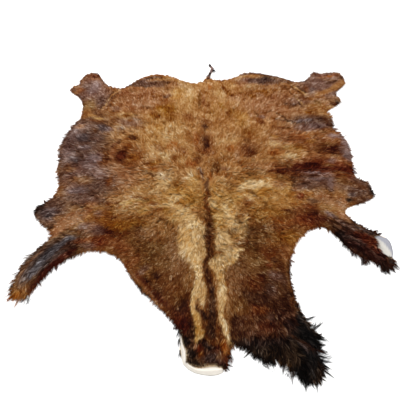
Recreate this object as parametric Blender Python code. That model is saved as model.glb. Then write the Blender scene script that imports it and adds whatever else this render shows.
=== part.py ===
"""A tanned bison hide lying hair side up on the floor, at its real size, in metres.

The hide is one piece of skin with its wool on, so it is one solid: a lumpy slab with a flat
underside, as thick as the coat is deep, with the creases of the hide pressed into it and the
locks of the coat standing out round its rim. +Y runs from the neck to the tail and +X to the
animal's left side as it lies. The origin is the middle of the finished box, on the floor.
"""

import math
import random
from collections import namedtuple

import bmesh
import bpy
import numpy as np
from mathutils import Vector, noise
from mathutils.geometry import delaunay_2d_cdt, intersect_line_line_2d

# Driving dimensions. The rim table below is drawn from the spine's middle, and the finished
# box's middle lies here in it.
BOX_MIDDLE = (0.0285, 0.0098)
LOCK_PITCH = 0.042
LOCK_LENGTH_SPREAD = 0.25
LOCK_LEAN = 0.35
LOCK_OUTSIDE_RIM = 0.62
LOCK_SHORTER = 0.6
LOCK_SHORTEST = 0.003
RIM_HEIGHT = 0.011
BARE_SKIN = 0.0035
GRID_PITCH = 0.034
GRID_JITTER = 0.006
CLEAR_OF_RIM = 0.013
RISE_FROM_RIM = 0.050
UNDERSIDE_PITCH = 0.11
UNDERSIDE_CLEAR = 0.030
LUMP_WAVE = 0.115
LUMP_SHARE = 0.24
SMALL_LUMP_WAVE = 0.060
SMALL_LUMP_SHARE = 0.10
BASE_WOOL = 0.024
SEED = 31

PELT_COLOUR = (0.30, 0.165, 0.075, 1.0)
PELT_ROUGHNESS = 0.85

RimPoint = namedtuple("RimPoint", "x y lock")
WoolPatch = namedtuple("WoolPatch", "name x y reach_x reach_y depth")
Crease = namedtuple("Crease", "name depth half_width line")
TailPoint = namedtuple("TailPoint", "x y half_width")

# The rim, clockwise from the tail as seen from above: x and y of the coat's edge in metres,
# and the length of the locks there in millimetres. A lock of 0 is a bare edge of skin.
RIM = {
    "rump_right": [
        (0.060, 0.962, 10), (0.150, 0.965, 12), (0.210, 0.988, 14), (0.320, 1.052, 14),
        (0.510, 1.012, 16), (0.660, 0.943, 18),
    ],
    "hind_leg_right": [
        (0.740, 0.967, 14), (0.785, 1.036, 12), (0.818, 1.064, 10), (0.850, 1.044, 10),
        (0.990, 1.052, 14), (1.018, 0.938, 12), (0.988, 0.888, 12), (0.918, 0.812, 8),
        (0.940, 0.764, 8), (0.933, 0.714, 8), (0.812, 0.604, 5),
    ],
    "flank_right": [
        (0.842, 0.583, 10), (0.832, 0.440, 18), (0.868, 0.398, 26), (0.891, 0.345, 30),
        (0.898, 0.210, 26), (0.876, 0.080, 20), (0.890, 0.016, 10),
    ],
    "flap_right": [
        (0.943, 0.000, 10), (0.961, -0.050, 10), (0.948, -0.130, 8), (0.820, -0.185, 8),
        (0.768, -0.214, 4),
    ],
    "foreleg_right": [
        (0.805, -0.285, 8), (0.910, -0.370, 0), (0.955, -0.394, 0), (0.967, -0.430, 0),
        (0.957, -0.540, 24), (0.935, -0.583, 36), (0.894, -0.588, 40), (0.850, -0.552, 36),
        (0.790, -0.520, 30), (0.735, -0.465, 22), (0.664, -0.346, 10),
    ],
    "bay_right": [
        (0.610, -0.325, 10), (0.545, -0.350, 12), (0.490, -0.400, 14), (0.424, -0.555, 14),
        (0.426, -0.730, 14),
    ],
    "beard": [
        (0.468, -0.858, 32), (0.506, -0.908, 40), (0.490, -0.992, 32), (0.508, -1.048, 44),
        (0.494, -1.094, 40), (0.446, -1.116, 32), (0.392, -1.099, 28), (0.330, -1.032, 16),
        (0.270, -1.043, 28), (0.210, -1.015, 26), (0.122, -0.955, 10),
    ],
    "neck": [
        (0.070, -1.073, 0), (-0.050, -1.075, 0), (-0.100, -1.045, 0), (-0.126, -0.985, 0),
        (-0.150, -0.872, 22),
    ],
    "bay_left": [
        (-0.343, -0.683, 26), (-0.435, -0.541, 18), (-0.488, -0.496, 14), (-0.560, -0.474, 12),
        (-0.640, -0.484, 10),
    ],
    "foreleg_left": [
        (-0.760, -0.560, 12), (-0.810, -0.630, 12), (-0.870, -0.731, 14), (-0.915, -0.741, 14),
        (-0.953, -0.703, 22), (-0.935, -0.550, 28), (-0.850, -0.430, 22), (-0.820, -0.398, 10),
    ],
    "flap_left": [
        (-0.832, -0.358, 8), (-0.930, -0.270, 20), (-0.954, -0.206, 30), (-0.875, -0.130, 16),
        (-0.846, -0.040, 14),
    ],
    "flank_left": [
        (-0.864, 0.030, 18), (-0.891, 0.080, 28), (-0.891, 0.170, 32), (-0.912, 0.250, 36),
        (-0.904, 0.330, 32), (-0.855, 0.500, 18), (-0.826, 0.555, 8),
    ],
    "hind_leg_left": [
        (-0.855, 0.735, 8), (-0.950, 0.835, 8), (-0.947, 0.888, 8), (-0.904, 0.908, 6),
        (-0.900, 0.974, 10), (-0.865, 1.038, 12), (-0.820, 1.054, 16), (-0.775, 1.028, 12),
        (-0.700, 0.908, 10),
    ],
    "rump_left": [
        (-0.595, 0.864, 8), (-0.545, 0.902, 12), (-0.490, 0.962, 14), (-0.420, 1.012, 14),
        (-0.350, 1.032, 14), (-0.260, 1.012, 12), (-0.120, 0.934, 10), (-0.050, 0.926, 8),
        (-0.005, 0.955, 5),
    ],
}

# The dried tail, from its root to its tip: its middle line and half its width.
TAIL = [
    TailPoint(0.028, 0.975, 0.0140),
    TailPoint(0.033, 1.015, 0.0090),
    TailPoint(0.044, 1.060, 0.0080),
    TailPoint(0.056, 1.092, 0.0110),
    TailPoint(0.052, 1.125, 0.0075),
    TailPoint(0.034, 1.152, 0.0045),
]

# Where the coat is deeper or shorter than the base: the middle, the reach along X and Y,
# and the depth of the wool there.
WOOL = [
    WoolPatch("hump", 0.02, -0.25, 0.34, 0.30, 0.044),
    WoolPatch("back", 0.00, 0.25, 0.45, 0.28, 0.034),
    WoolPatch("rump", 0.00, 0.80, 0.50, 0.20, 0.023),
    WoolPatch("flank_left", -0.78, 0.22, 0.16, 0.32, 0.034),
    WoolPatch("flank_right", 0.80, 0.22, 0.16, 0.26, 0.034),
    WoolPatch("neck_left", -0.26, -0.66, 0.14, 0.18, 0.019),
    WoolPatch("neck_right", 0.27, -0.70, 0.14, 0.18, 0.022),
    WoolPatch("beard", 0.45, -1.00, 0.12, 0.16, 0.046),
    WoolPatch("under_beard", 0.25, -0.98, 0.12, 0.07, 0.030),
    WoolPatch("foreleg_left", -0.86, -0.58, 0.12, 0.18, 0.034),
    WoolPatch("foreleg_right", 0.82, -0.43, 0.14, 0.14, 0.034),
    WoolPatch("flap_left", -0.86, -0.24, 0.10, 0.09, 0.018),
    WoolPatch("flap_right", 0.84, -0.09, 0.12, 0.10, 0.013),
    WoolPatch("hind_leg_left", -0.82, 0.86, 0.12, 0.22, 0.014),
    WoolPatch("hind_leg_right", 0.88, 0.86, 0.14, 0.22, 0.015),
    WoolPatch("neck_end", 0.00, -1.00, 0.08, 0.06, 0.025),
    WoolPatch("tail", 0.045, 1.08, 0.04, 0.08, 0.008),
]

# Bare skin that shows beside the coat: the turned edge of the neck and of the right foreleg.
BARE = [
    WoolPatch("neck_edge", -0.010, -1.082, 0.085, 0.020, BARE_SKIN),
    WoolPatch("neck_side", -0.122, -0.990, 0.018, 0.080, BARE_SKIN),
    WoolPatch("foreleg_edge", 0.945, -0.440, 0.034, 0.058, BARE_SKIN),
]

# The lines that storage and the animal's shape left in the hide, as points in metres.
CREASES = [
    Crease("loin", 0.010, 0.020, [(0.00, 0.60), (-0.01, 0.35), (-0.01, 0.05)]),
    Crease("withers", 0.012, 0.020, [(-0.01, 0.05), (0.01, -0.30), (0.00, -0.55), (0.03, -0.90)]),
    Crease("cross_fold", 0.010, 0.016, [(-0.10, 0.13), (0.20, 0.12), (0.55, 0.12), (0.88, 0.11)]),
    Crease("rump_fold", 0.008, 0.016, [(0.13, 0.93), (0.19, 0.81), (0.32, 0.83), (0.52, 0.86)]),
    Crease("loin_fold", 0.007, 0.014, [(0.46, 0.60), (0.60, 0.51), (0.72, 0.55)]),
    Crease("thigh_left", 0.007, 0.014, [(-0.60, 0.86), (-0.65, 0.76), (-0.69, 0.64)]),
    Crease("thigh_right", 0.007, 0.014, [(0.62, 0.93), (0.69, 0.82), (0.66, 0.70)]),
    Crease("belly_left", 0.008, 0.016, [(-0.63, -0.20), (-0.72, -0.30), (-0.83, -0.36)]),
    Crease("belly_right", 0.008, 0.016, [(0.60, -0.16), (0.70, -0.21), (0.77, -0.22)]),
    Crease("shoulder_left", 0.008, 0.018, [(-0.56, 0.02), (-0.55, -0.20), (-0.56, -0.42)]),
    Crease("shoulder_right", 0.008, 0.018, [(0.44, -0.10), (0.42, -0.30), (0.50, -0.33)]),
]


def clear_scene():
    """Empties the scene, so the script can run again from the text editor."""
    for obj in list(bpy.data.objects):
        bpy.data.objects.remove(obj)


def through(points, samples):
    """A list of vectors along an open Catmull-Rom curve, from the first point to the last."""
    line = []
    held = [points[0], *points, points[-1]]
    for i in range(1, len(held) - 2):
        a, b, c, d = held[i - 1 : i + 3]
        for k in range(samples):
            t = k / samples
            line.append(
                0.5
                * (
                    2 * b
                    + (c - a) * t
                    + (2 * a - 5 * b + 4 * c - d) * t**2
                    + (3 * b - a - 3 * c + d) * t**3
                )
            )
    return [*line, points[-1]]


def coat_edge():
    """The coat's edge as a smooth curve of (x, y, lock length), all round but for the tail."""
    marks = [Vector((x, y, lock / 1000)) for rows in RIM.values() for x, y, lock in rows]
    samples_per_mark = 10
    return through(marks, samples_per_mark)


def tail_edge():
    """The tail's outline, up its left side and down its right, as bare-edged rim points."""
    middle = through([Vector(point) for point in TAIL], 3)
    left, right = [], []
    for here, ahead in zip(middle[:-1], middle[1:]):
        along = (ahead - here).to_2d().normalized()
        across = Vector((-along.y, along.x)) * here.z
        left.append(RimPoint(here.x + across.x, here.y + across.y, 0.0))
        right.append(RimPoint(here.x - across.x, here.y - across.y, 0.0))
    tip = RimPoint(middle[-1].x, middle[-1].y, 0.0)
    first_clear = 1  # the tail's root lies inside the rump
    return left[first_clear:] + [tip] + right[first_clear:][::-1]


def spaced(curve, pitch):
    """The curve's points at an even spacing of about the pitch, ends included."""
    curve = [Vector(p) for p in curve]
    steps = [(b - a).to_2d().length for a, b in zip(curve[:-1], curve[1:])]
    total = sum(steps)
    count = max(2, round(total / pitch))
    found, walked, i = [], 0.0, 0
    for k in range(count):
        wanted = total * k / count
        while walked + steps[i] < wanted:
            walked += steps[i]
            i += 1
        share = (wanted - walked) / steps[i]
        found.append(curve[i].lerp(curve[i + 1], share))
    return found + [curve[-1]]


def crossing(points, i):
    """Whether one of the two edges at point i crosses another edge of the closed outline."""
    count = len(points)
    for start in (i - 1, i):
        a, b = points[start % count], points[(start + 1) % count]
        for j in range(count):
            apart = (j - start) % count
            if apart in (0, 1, count - 1):
                continue
            if intersect_line_line_2d(a, b, points[j], points[(j + 1) % count]):
                return True
    return False


def rim_with_locks(rng):
    """The outline in plan, valley and tip by turns: its points, and which of them are tips."""
    roots = spaced(coat_edge(), LOCK_PITCH)
    points, tips, bases = [], [], []
    for here, ahead in zip(roots[:-1], roots[1:]):
        along = (ahead - here).to_2d()
        outward = Vector((-along.y, along.x)).normalized()
        lock = (here.z + ahead.z) / 2
        root = here.to_2d() - outward * here.z * (1 - LOCK_OUTSIDE_RIM)
        middle = here.to_2d() + along * (0.5 + LOCK_LEAN * rng.uniform(-1, 1))
        length = lock * LOCK_OUTSIDE_RIM * (1 + LOCK_LENGTH_SPREAD * rng.uniform(-1, 1))
        points += [root, middle + outward * length]
        bases += [None, middle]
        tips += [False, lock > LOCK_SHORTEST]
    tail = [Vector(p[:2]) for p in tail_edge()]
    points += [roots[-1].to_2d(), *tail]
    tips += [False] * (1 + len(tail))
    for i, base in enumerate(bases):
        while base and crossing(points, i) and (points[i] - base).length > LOCK_SHORTEST:
            points[i] = base.lerp(points[i], LOCK_SHORTER)
    return points, tips


def distance_to_outline(places, outline):
    """For each place, the distance to the nearest edge of the closed outline."""
    start = np.array(outline)
    edge = np.roll(start, -1, axis=0) - start
    nearest = np.full(len(places), np.inf)
    for a, e in zip(start, edge):
        away = places - a
        share = np.clip(away @ e / max(e @ e, 1e-12), 0, 1)
        nearest = np.minimum(nearest, np.linalg.norm(away - share[:, None] * e, axis=1))
    return nearest


def inside(places, outline):
    """For each place, whether it lies inside the closed outline."""
    found = np.zeros(len(places), bool)
    corners = np.array(outline)
    for (ax, ay), (bx, by) in zip(corners, np.roll(corners, -1, axis=0)):
        if ay == by:
            continue
        across = (places[:, 1] < ay) != (places[:, 1] < by)
        reach = ax + (places[:, 1] - ay) * (bx - ax) / (by - ay)
        found ^= across & (places[:, 0] < reach)
    return found


def lattice(outline, pitch, jitter, clear, rng):
    """Points in a jittered triangular lattice inside the outline, clear of its edges."""
    low, high = np.min(outline, axis=0), np.max(outline, axis=0)
    row_step = pitch * math.sqrt(3) / 2
    found = []
    for row in range(int((high[1] - low[1]) / row_step) + 1):
        shift = pitch / 2 * (row % 2)
        for column in range(int((high[0] - low[0]) / pitch) + 1):
            x = low[0] + shift + column * pitch + rng.uniform(-jitter, jitter)
            y = low[1] + row * row_step + rng.uniform(-jitter, jitter)
            found.append((x, y))
    found = np.array(found)
    found = found[inside(found, outline)]
    return found[distance_to_outline(found, outline) > clear]


def patch_weight(patch, x, y):
    """1 in the middle of the patch, falling softly to 0 past its reach."""
    return math.exp(-(((x - patch.x) / patch.reach_x) ** 2) - ((y - patch.y) / patch.reach_y) ** 2)


def crease_depth(x, y):
    """How far the creases press the coat down at a place."""
    here, deepest = Vector((x, y)), 0.0
    for crease in CREASES:
        for a, b in zip(crease.line[:-1], crease.line[1:]):
            a, b = Vector(a), Vector(b)
            share = max(0.0, min(1.0, (here - a).dot(b - a) / (b - a).length_squared))
            away = (here - a.lerp(b, share)).length
            deepest = max(deepest, crease.depth * math.exp(-((away / crease.half_width) ** 2)))
    return deepest


def bareness(x, y):
    """From 0 in the coat to 1 on the bare skin of a turned edge."""
    steep = 3
    spread = 0.0
    for patch in BARE:
        square = ((x - patch.x) / patch.reach_x) ** 2 + ((y - patch.y) / patch.reach_y) ** 2
        spread = max(spread, math.exp(-(square**steep)))
    return spread


def coat_depth(x, y):
    """The height of the coat's top over the floor, well away from the rim."""
    total, weights = BASE_WOOL * 0.35, 0.35
    for patch in WOOL:
        weight = patch_weight(patch, x, y)
        total += weight * patch.depth
        weights += weight
    depth = total / weights
    large = noise.noise(Vector((x, y, 0)) / LUMP_WAVE)
    small = noise.noise(Vector((x, y, LUMP_WAVE)) / SMALL_LUMP_WAVE)
    depth *= 1 + LUMP_SHARE * large + SMALL_LUMP_SHARE * small
    depth = max(depth - crease_depth(x, y), depth * 0.45)
    return depth + (BARE_SKIN - depth) * bareness(x, y)


def rim_height(x, y):
    """The height of the slab's top at its rim, between two locks."""
    return RIM_HEIGHT + (BARE_SKIN - RIM_HEIGHT) * bareness(x, y)


def top_height(x, y, from_rim):
    """The height of the slab's top, which rises from the rim to the full coat."""
    share = min(1.0, from_rim / RISE_FROM_RIM)
    eased = share * share * (3 - 2 * share)
    low = rim_height(x, y)
    return low + (max(coat_depth(x, y), low) - low) * eased


def filled(outline, within):
    """The outline filled with triangles that use the places within: all places, and faces."""
    places = [Vector(p) for p in outline] + [Vector(p) for p in within]
    count = len(outline)
    edges = [(i, (i + 1) % count) for i in range(count)]
    inside_only = 1
    verts, _, faces, *_ = delaunay_2d_cdt(places, edges, [], inside_only, 1e-6)
    return verts, faces


def pelt_mesh():
    """The slab: a lumpy top and a flat underside that share the rim's tips."""
    rng = random.Random(SEED)
    outline, tips = rim_with_locks(rng)
    grid = lattice(outline, GRID_PITCH, GRID_JITTER, CLEAR_OF_RIM, rng)
    far = distance_to_outline(grid, outline)
    floor_grid = lattice(outline, UNDERSIDE_PITCH, 0.0, UNDERSIDE_CLEAR, rng)
    count = len(outline)

    mesh = bmesh.new()
    floor_rim = [mesh.verts.new((p.x, p.y, 0.0)) for p in outline]
    top_rim = [
        low if tip else mesh.verts.new((p.x, p.y, rim_height(p.x, p.y)))
        for p, tip, low in zip(outline, tips, floor_rim)
    ]
    layers = (
        (top_rim, grid, [top_height(x, y, d) for (x, y), d in zip(grid, far)], False),
        (floor_rim, floor_grid, [0.0] * len(floor_grid), True),
    )
    for rim, places, heights, turned in layers:
        inner = [mesh.verts.new((x, y, z)) for (x, y), z in zip(places, heights)]
        verts, faces = filled(outline, places)
        if len(verts) != count + len(inner):
            raise ValueError("the outline crosses itself, so its fill added points")
        known = [*rim, *inner]
        for face in faces:
            corners = [known[i] for i in face]
            mesh.faces.new(corners[::-1] if turned else corners)
    for i in range(count):
        j = (i + 1) % count
        wall = [floor_rim[i], floor_rim[j], top_rim[j], top_rim[i]]
        corners = [v for k, v in enumerate(wall) if v not in wall[:k]]
        if len(corners) > 2:
            mesh.faces.new(corners)
    bmesh.ops.triangulate(mesh, faces=mesh.faces[:])
    bmesh.ops.recalc_face_normals(mesh, faces=mesh.faces[:])
    bmesh.ops.translate(mesh, verts=mesh.verts[:], vec=(-BOX_MIDDLE[0], -BOX_MIDDLE[1], 0.0))
    return mesh


def pelt_material():
    """The coat's mean brown."""
    material = bpy.data.materials.new("brown_wool")
    material.use_nodes = True
    shader = material.node_tree.nodes["Principled BSDF"]
    shader.inputs["Base Color"].default_value = PELT_COLOUR
    shader.inputs["Roughness"].default_value = PELT_ROUGHNESS
    shader.inputs["Metallic"].default_value = 0.0
    return material


def make_hide():
    """The hide as one named object."""
    data = bpy.data.meshes.new("hide")
    solid = pelt_mesh()
    solid.to_mesh(data)
    solid.free()
    hide = bpy.data.objects.new("hide", data)
    hide.data.materials.append(pelt_material())
    bpy.context.scene.collection.objects.link(hide)
    data.shade_smooth()
    data.set_sharp_from_angle(angle=math.radians(60))
    return hide


def main():
    """Builds the hide in an empty scene."""
    clear_scene()
    make_hide()


main()
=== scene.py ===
"""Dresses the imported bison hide: its skin, its undercoat, its combed fur and its bare edges.

The tables are drawn from the middle of the spine, with the neck nearest and the hair side up:
the rows of patches, streaks and bands in millimetres, and all else in metres unless its note says
otherwise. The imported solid's own middle lies at DRAWING_MIDDLE in them, and every place is
shifted by it when a table is used.
"""

import logging
import math
from collections.abc import Sequence
from dataclasses import dataclass
from enum import Enum

import bmesh
import bpy
import numpy as np
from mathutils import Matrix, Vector
from mathutils.bvhtree import BVHTree


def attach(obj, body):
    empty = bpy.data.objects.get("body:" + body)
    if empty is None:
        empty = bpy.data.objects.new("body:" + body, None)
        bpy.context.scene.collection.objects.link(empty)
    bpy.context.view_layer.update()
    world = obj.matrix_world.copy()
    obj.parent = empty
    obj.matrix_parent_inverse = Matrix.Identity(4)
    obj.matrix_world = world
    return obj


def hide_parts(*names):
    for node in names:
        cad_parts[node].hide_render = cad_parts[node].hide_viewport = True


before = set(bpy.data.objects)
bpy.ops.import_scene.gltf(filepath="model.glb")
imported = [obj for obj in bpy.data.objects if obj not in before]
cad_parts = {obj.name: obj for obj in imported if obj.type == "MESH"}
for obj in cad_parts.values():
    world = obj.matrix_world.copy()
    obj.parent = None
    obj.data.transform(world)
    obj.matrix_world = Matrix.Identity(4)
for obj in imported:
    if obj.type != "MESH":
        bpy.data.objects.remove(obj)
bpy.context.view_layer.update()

LOG = logging.getLogger("bison_hide")
BODY = "root"
NODE = "hide"
DRAWING_MIDDLE = np.array([0.0285, 0.0098])
COLOUR_LAYER = "coat_colour"
BAKE_LAYER = "OFBake"
SEED = 7
# These two were set by comparing renders with the photograph, channel by channel.
HAIR_GAIN = np.array([0.950, 1.015, 1.060])
HAIR_POWER = np.array([1.12, 1.18, 1.235])

Array = np.ndarray


def srgb(red: int, green: int, blue: int) -> tuple[float, float, float]:
    """Turns a colour as seen on a screen into the linear one that shaders use.

    Args:
        red: Screen red, 0 to 255.
        green: Screen green, 0 to 255.
        blue: Screen blue, 0 to 255.

    Returns:
        The linear colour.
    """
    shares = (c / 255 for c in (red, green, blue))
    return tuple(s / 12.92 if s < 0.04045 else ((s + 0.055) / 1.055) ** 2.4 for s in shares)


class Shade(Enum):
    """The coat's colours, as they look in soft light."""

    CREAM = srgb(204, 169, 121)
    IVORY = srgb(214, 188, 150)
    OAT = srgb(192, 158, 113)
    STRAW = srgb(188, 148, 92)
    HONEY = srgb(170, 122, 62)
    TAN = srgb(156, 110, 66)
    BEIGE = srgb(172, 132, 86)
    ROSE_TAN = srgb(148, 102, 70)
    FAWN = srgb(136, 96, 64)
    BRONZE = srgb(108, 70, 36)
    PALE_ROSE = srgb(166, 126, 94)
    RUSSET = srgb(128, 78, 44)
    GOLD = srgb(132, 82, 22)
    AMBER = srgb(114, 62, 16)
    CHESTNUT = srgb(98, 48, 16)
    WALNUT = srgb(96, 56, 26)
    COCOA = srgb(74, 42, 24)
    UMBER = srgb(56, 28, 16)
    OXBLOOD = srgb(68, 20, 5)
    # MAUVE, SLATE and LILAC give the flanks their grey-mauve: the hair's own colour with a painted sheen
    # of reflected light in it.
    MAUVE = srgb(114, 84, 74)
    DUSK = srgb(94, 68, 58)
    SLATE = srgb(98, 84, 84)
    # STEEL is a painted blue-grey sheen on the left foreleg's dark hair.
    STEEL = srgb(84, 80, 84)
    SOOT = srgb(54, 42, 40)
    EBONY = srgb(30, 18, 15)
    CLARET = srgb(40, 15, 12)
    JET = srgb(9, 9, 10)
    COPPER = srgb(150, 86, 34)
    OLIVE = srgb(124, 90, 54)
    LILAC = srgb(130, 110, 108)
    BRICK = srgb(104, 46, 20)


@dataclass(frozen=True)
class Patch:
    """A soft oval of one colour on the coat.

    Attributes:
        shade: Its colour.
        x: Its middle, to the right of the spine.
        y: Its middle, towards the tail.
        reach_x: Half its length before it is turned.
        reach_y: Half its width before it is turned.
        turn: How far it is turned, in degrees.
        cover: How much of what lies under it is hidden, 0 to 1.
    """

    shade: Shade
    x: float
    y: float
    reach_x: float
    reach_y: float
    turn: float = 0.0
    cover: float = 0.9


@dataclass(frozen=True)
class Streak:
    """A soft line of one colour on the coat.

    Attributes:
        shade: Its colour.
        half_width: Half its width.
        cover: How much of what lies under it is hidden, 0 to 1.
        line: The places that it runs through.
    """

    shade: Shade
    half_width: float
    cover: float
    line: tuple[tuple[float, float], ...]


@dataclass(frozen=True)
class Band:
    """A line of one colour whose width changes along it.

    Attributes:
        shade: Its colour.
        soft: How far its edges blend into what lies round it.
        cover: How much of what lies under it is hidden, 0 to 1.
        line: The places that it runs through, each with half its width there.
    """

    shade: Shade
    soft: float
    cover: float
    line: tuple[tuple[float, float, float], ...]


Layer = Patch | Streak | Band


def patches(*rows: tuple[Shade | float, ...]) -> tuple[Patch, ...]:
    """Reads patches from rows of a shade and four measures in millimetres.

    Args:
        rows: The shade, the middle and the two reaches, and a turn and a cover where they matter.

    Returns:
        The patches, in metres.
    """
    return tuple(Patch(shade, *(size / 1000 for size in rest[:4]), *rest[4:]) for shade, *rest in rows)


def lines(kind: type[Streak] | type[Band], *rows: tuple) -> tuple[Streak | Band, ...]:
    """Reads streaks or bands from rows with their measures in millimetres.

    Args:
        kind: What to read.
        rows: The shade, the half width or the soft edge, the cover and the places.

    Returns:
        The streaks or bands, in metres.
    """
    return tuple(
        kind(shade, size / 1000, cover, tuple(tuple(c / 1000 for c in place) for place in line))
        for shade, size, cover, line in rows
    )


LARGE_PATCHES = patches(
    (Shade.TAN, 0, 300, 550, 600), (Shade.ROSE_TAN, -460, 760, 200, 200),
    (Shade.ROSE_TAN, 460, 680, 240, 200), (Shade.BEIGE, -130, 780, 90, 220),
    (Shade.TAN, 120, 800, 160, 200), (Shade.BEIGE, -280, 380, 160, 200), (Shade.TAN, 200, 380, 200, 220),
    (Shade.ROSE_TAN, 600, 360, 200, 120), (Shade.MAUVE, -800, 860, 120, 220, 0, 0.95),
    (Shade.DUSK, -780, 300, 200, 340, 0, 0.98), (Shade.MAUVE, -680, 20, 160, 160),
    (Shade.MAUVE, 840, 920, 200, 200, 0, 0.95), (Shade.DUSK, 720, 500, 200, 80),
    (Shade.RUSSET, 780, 250, 180, 180), (Shade.MAUVE, 680, 20, 180, 100),
    (Shade.DUSK, 880, -40, 120, 120, 0, 0.95), (Shade.ROSE_TAN, -460, 30, 120, 120),
    (Shade.TAN, -220, 20, 180, 160), (Shade.HONEY, -130, -140, 140, 100),
    (Shade.HONEY, 320, -100, 200, 120), (Shade.TAN, -380, -190, 170, 90),
    (Shade.TAN, -180, -300, 100, 120), (Shade.BRONZE, -280, -500, 260, 200, -35, 0.96),
    (Shade.FAWN, -160, -540, 80, 160, 0, 0.85), (Shade.BRONZE, 240, -500, 220, 220, 0, 0.96),
    (Shade.FAWN, 150, -640, 70, 140, 0, 0.85), (Shade.WALNUT, -160, -720, 140, 100, -48, 0.9),
    (Shade.COCOA, 300, -760, 160, 160, 0, 0.9), (Shade.OXBLOOD, -130, -840, 70, 100, -20, 0.9),
    (Shade.EBONY, -100, -920, 50, 70, 0, 0.9), (Shade.CLARET, 800, -420, 220, 150, -38, 0.97),
    (Shade.SOOT, -800, -520, 200, 130, 45, 0.97), (Shade.DUSK, -860, -220, 120, 120, 0, 0.96),
    (Shade.UMBER, 0, -990, 130, 90, 0, 0.97), (Shade.COCOA, 240, -880, 200, 100, 0, 0.97),
    (Shade.UMBER, 360, -840, 80, 100, 0, 0.9), (Shade.CLARET, 900, -520, 120, 100, -38, 0.97),
    (Shade.MAUVE, -700, 740, 60, 120, 0, 0.8), (Shade.FAWN, -500, 470, 100, 70, -20, 0.8),
    (Shade.FAWN, 620, 700, 120, 70, 0, 0.8), (Shade.RUSSET, -490, 200, 110, 100, 0, 0.85),
    (Shade.RUSSET, -320, 120, 90, 40, 0, 0.6), (Shade.RUSSET, 0, 300, 60, 120, 0, 0.7),
    (Shade.RUSSET, 270, 240, 70, 80, 0, 0.6), (Shade.RUSSET, 380, 100, 160, 40, 0, 0.7),
    (Shade.BRICK, 660, 100, 240, 70, 0, 0.9), (Shade.WALNUT, 770, 250, 100, 60, 0, 0.8),
    (Shade.LILAC, 890, 300, 30, 140, 12, 0.85), (Shade.LILAC, -840, 300, 50, 200, 0, 0.5),
    (Shade.LILAC, -690, 130, 60, 60, 0, 0.6), (Shade.MAUVE, -500, 500, 100, 60, -20, 0.6),
    (Shade.MAUVE, 650, 710, 100, 50, 0, 0.6), (Shade.WALNUT, 400, 810, 160, 70, 0, 0.45),
    (Shade.WALNUT, -220, 860, 140, 70, 0, 0.4), (Shade.WALNUT, -600, 740, 100, 60, 0, 0.35),
    (Shade.BEIGE, -300, -80, 100, 60, 0, 0.75), (Shade.TAN, -190, 150, 70, 50, 0, 0.8),
    (Shade.DUSK, -620, -40, 120, 100, 0, 0.75), (Shade.DUSK, -700, -140, 120, 60, 0, 0.6),
    (Shade.AMBER, -550, -310, 100, 70, 0, 0.75), (Shade.AMBER, -610, 170, 60, 50, 0, 0.7),
    (Shade.OXBLOOD, -860, 260, 40, 100, 0, 0.35), (Shade.MAUVE, -750, 30, 120, 70, 0, 0.65),
    (Shade.CHESTNUT, -520, -410, 100, 60, 0, 0.65), (Shade.MAUVE, -620, -350, 70, 50, 0, 0.6),
    (Shade.OAT, 110, 800, 40, 50, 0, 0.6), (Shade.MAUVE, 550, -60, 60, 30, 0, 0.7),
    (Shade.MAUVE, -660, -150, 120, 40, -10, 0.7), (Shade.MAUVE, 340, 940, 120, 40, 0, 0.7),
    (Shade.WALNUT, -500, -200, 80, 40, 0, 0.8), (Shade.WALNUT, -600, 150, 40, 60, 0, 0.7),
    (Shade.BRICK, 810, 60, 60, 60, 0, 0.85), (Shade.OAT, -220, 0, 60, 60, 0, 0.6),
    (Shade.TAN, -270, -370, 60, 70, -20, 0.8), (Shade.BEIGE, 155, -430, 40, 30, 0, 0.8),
)

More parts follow.
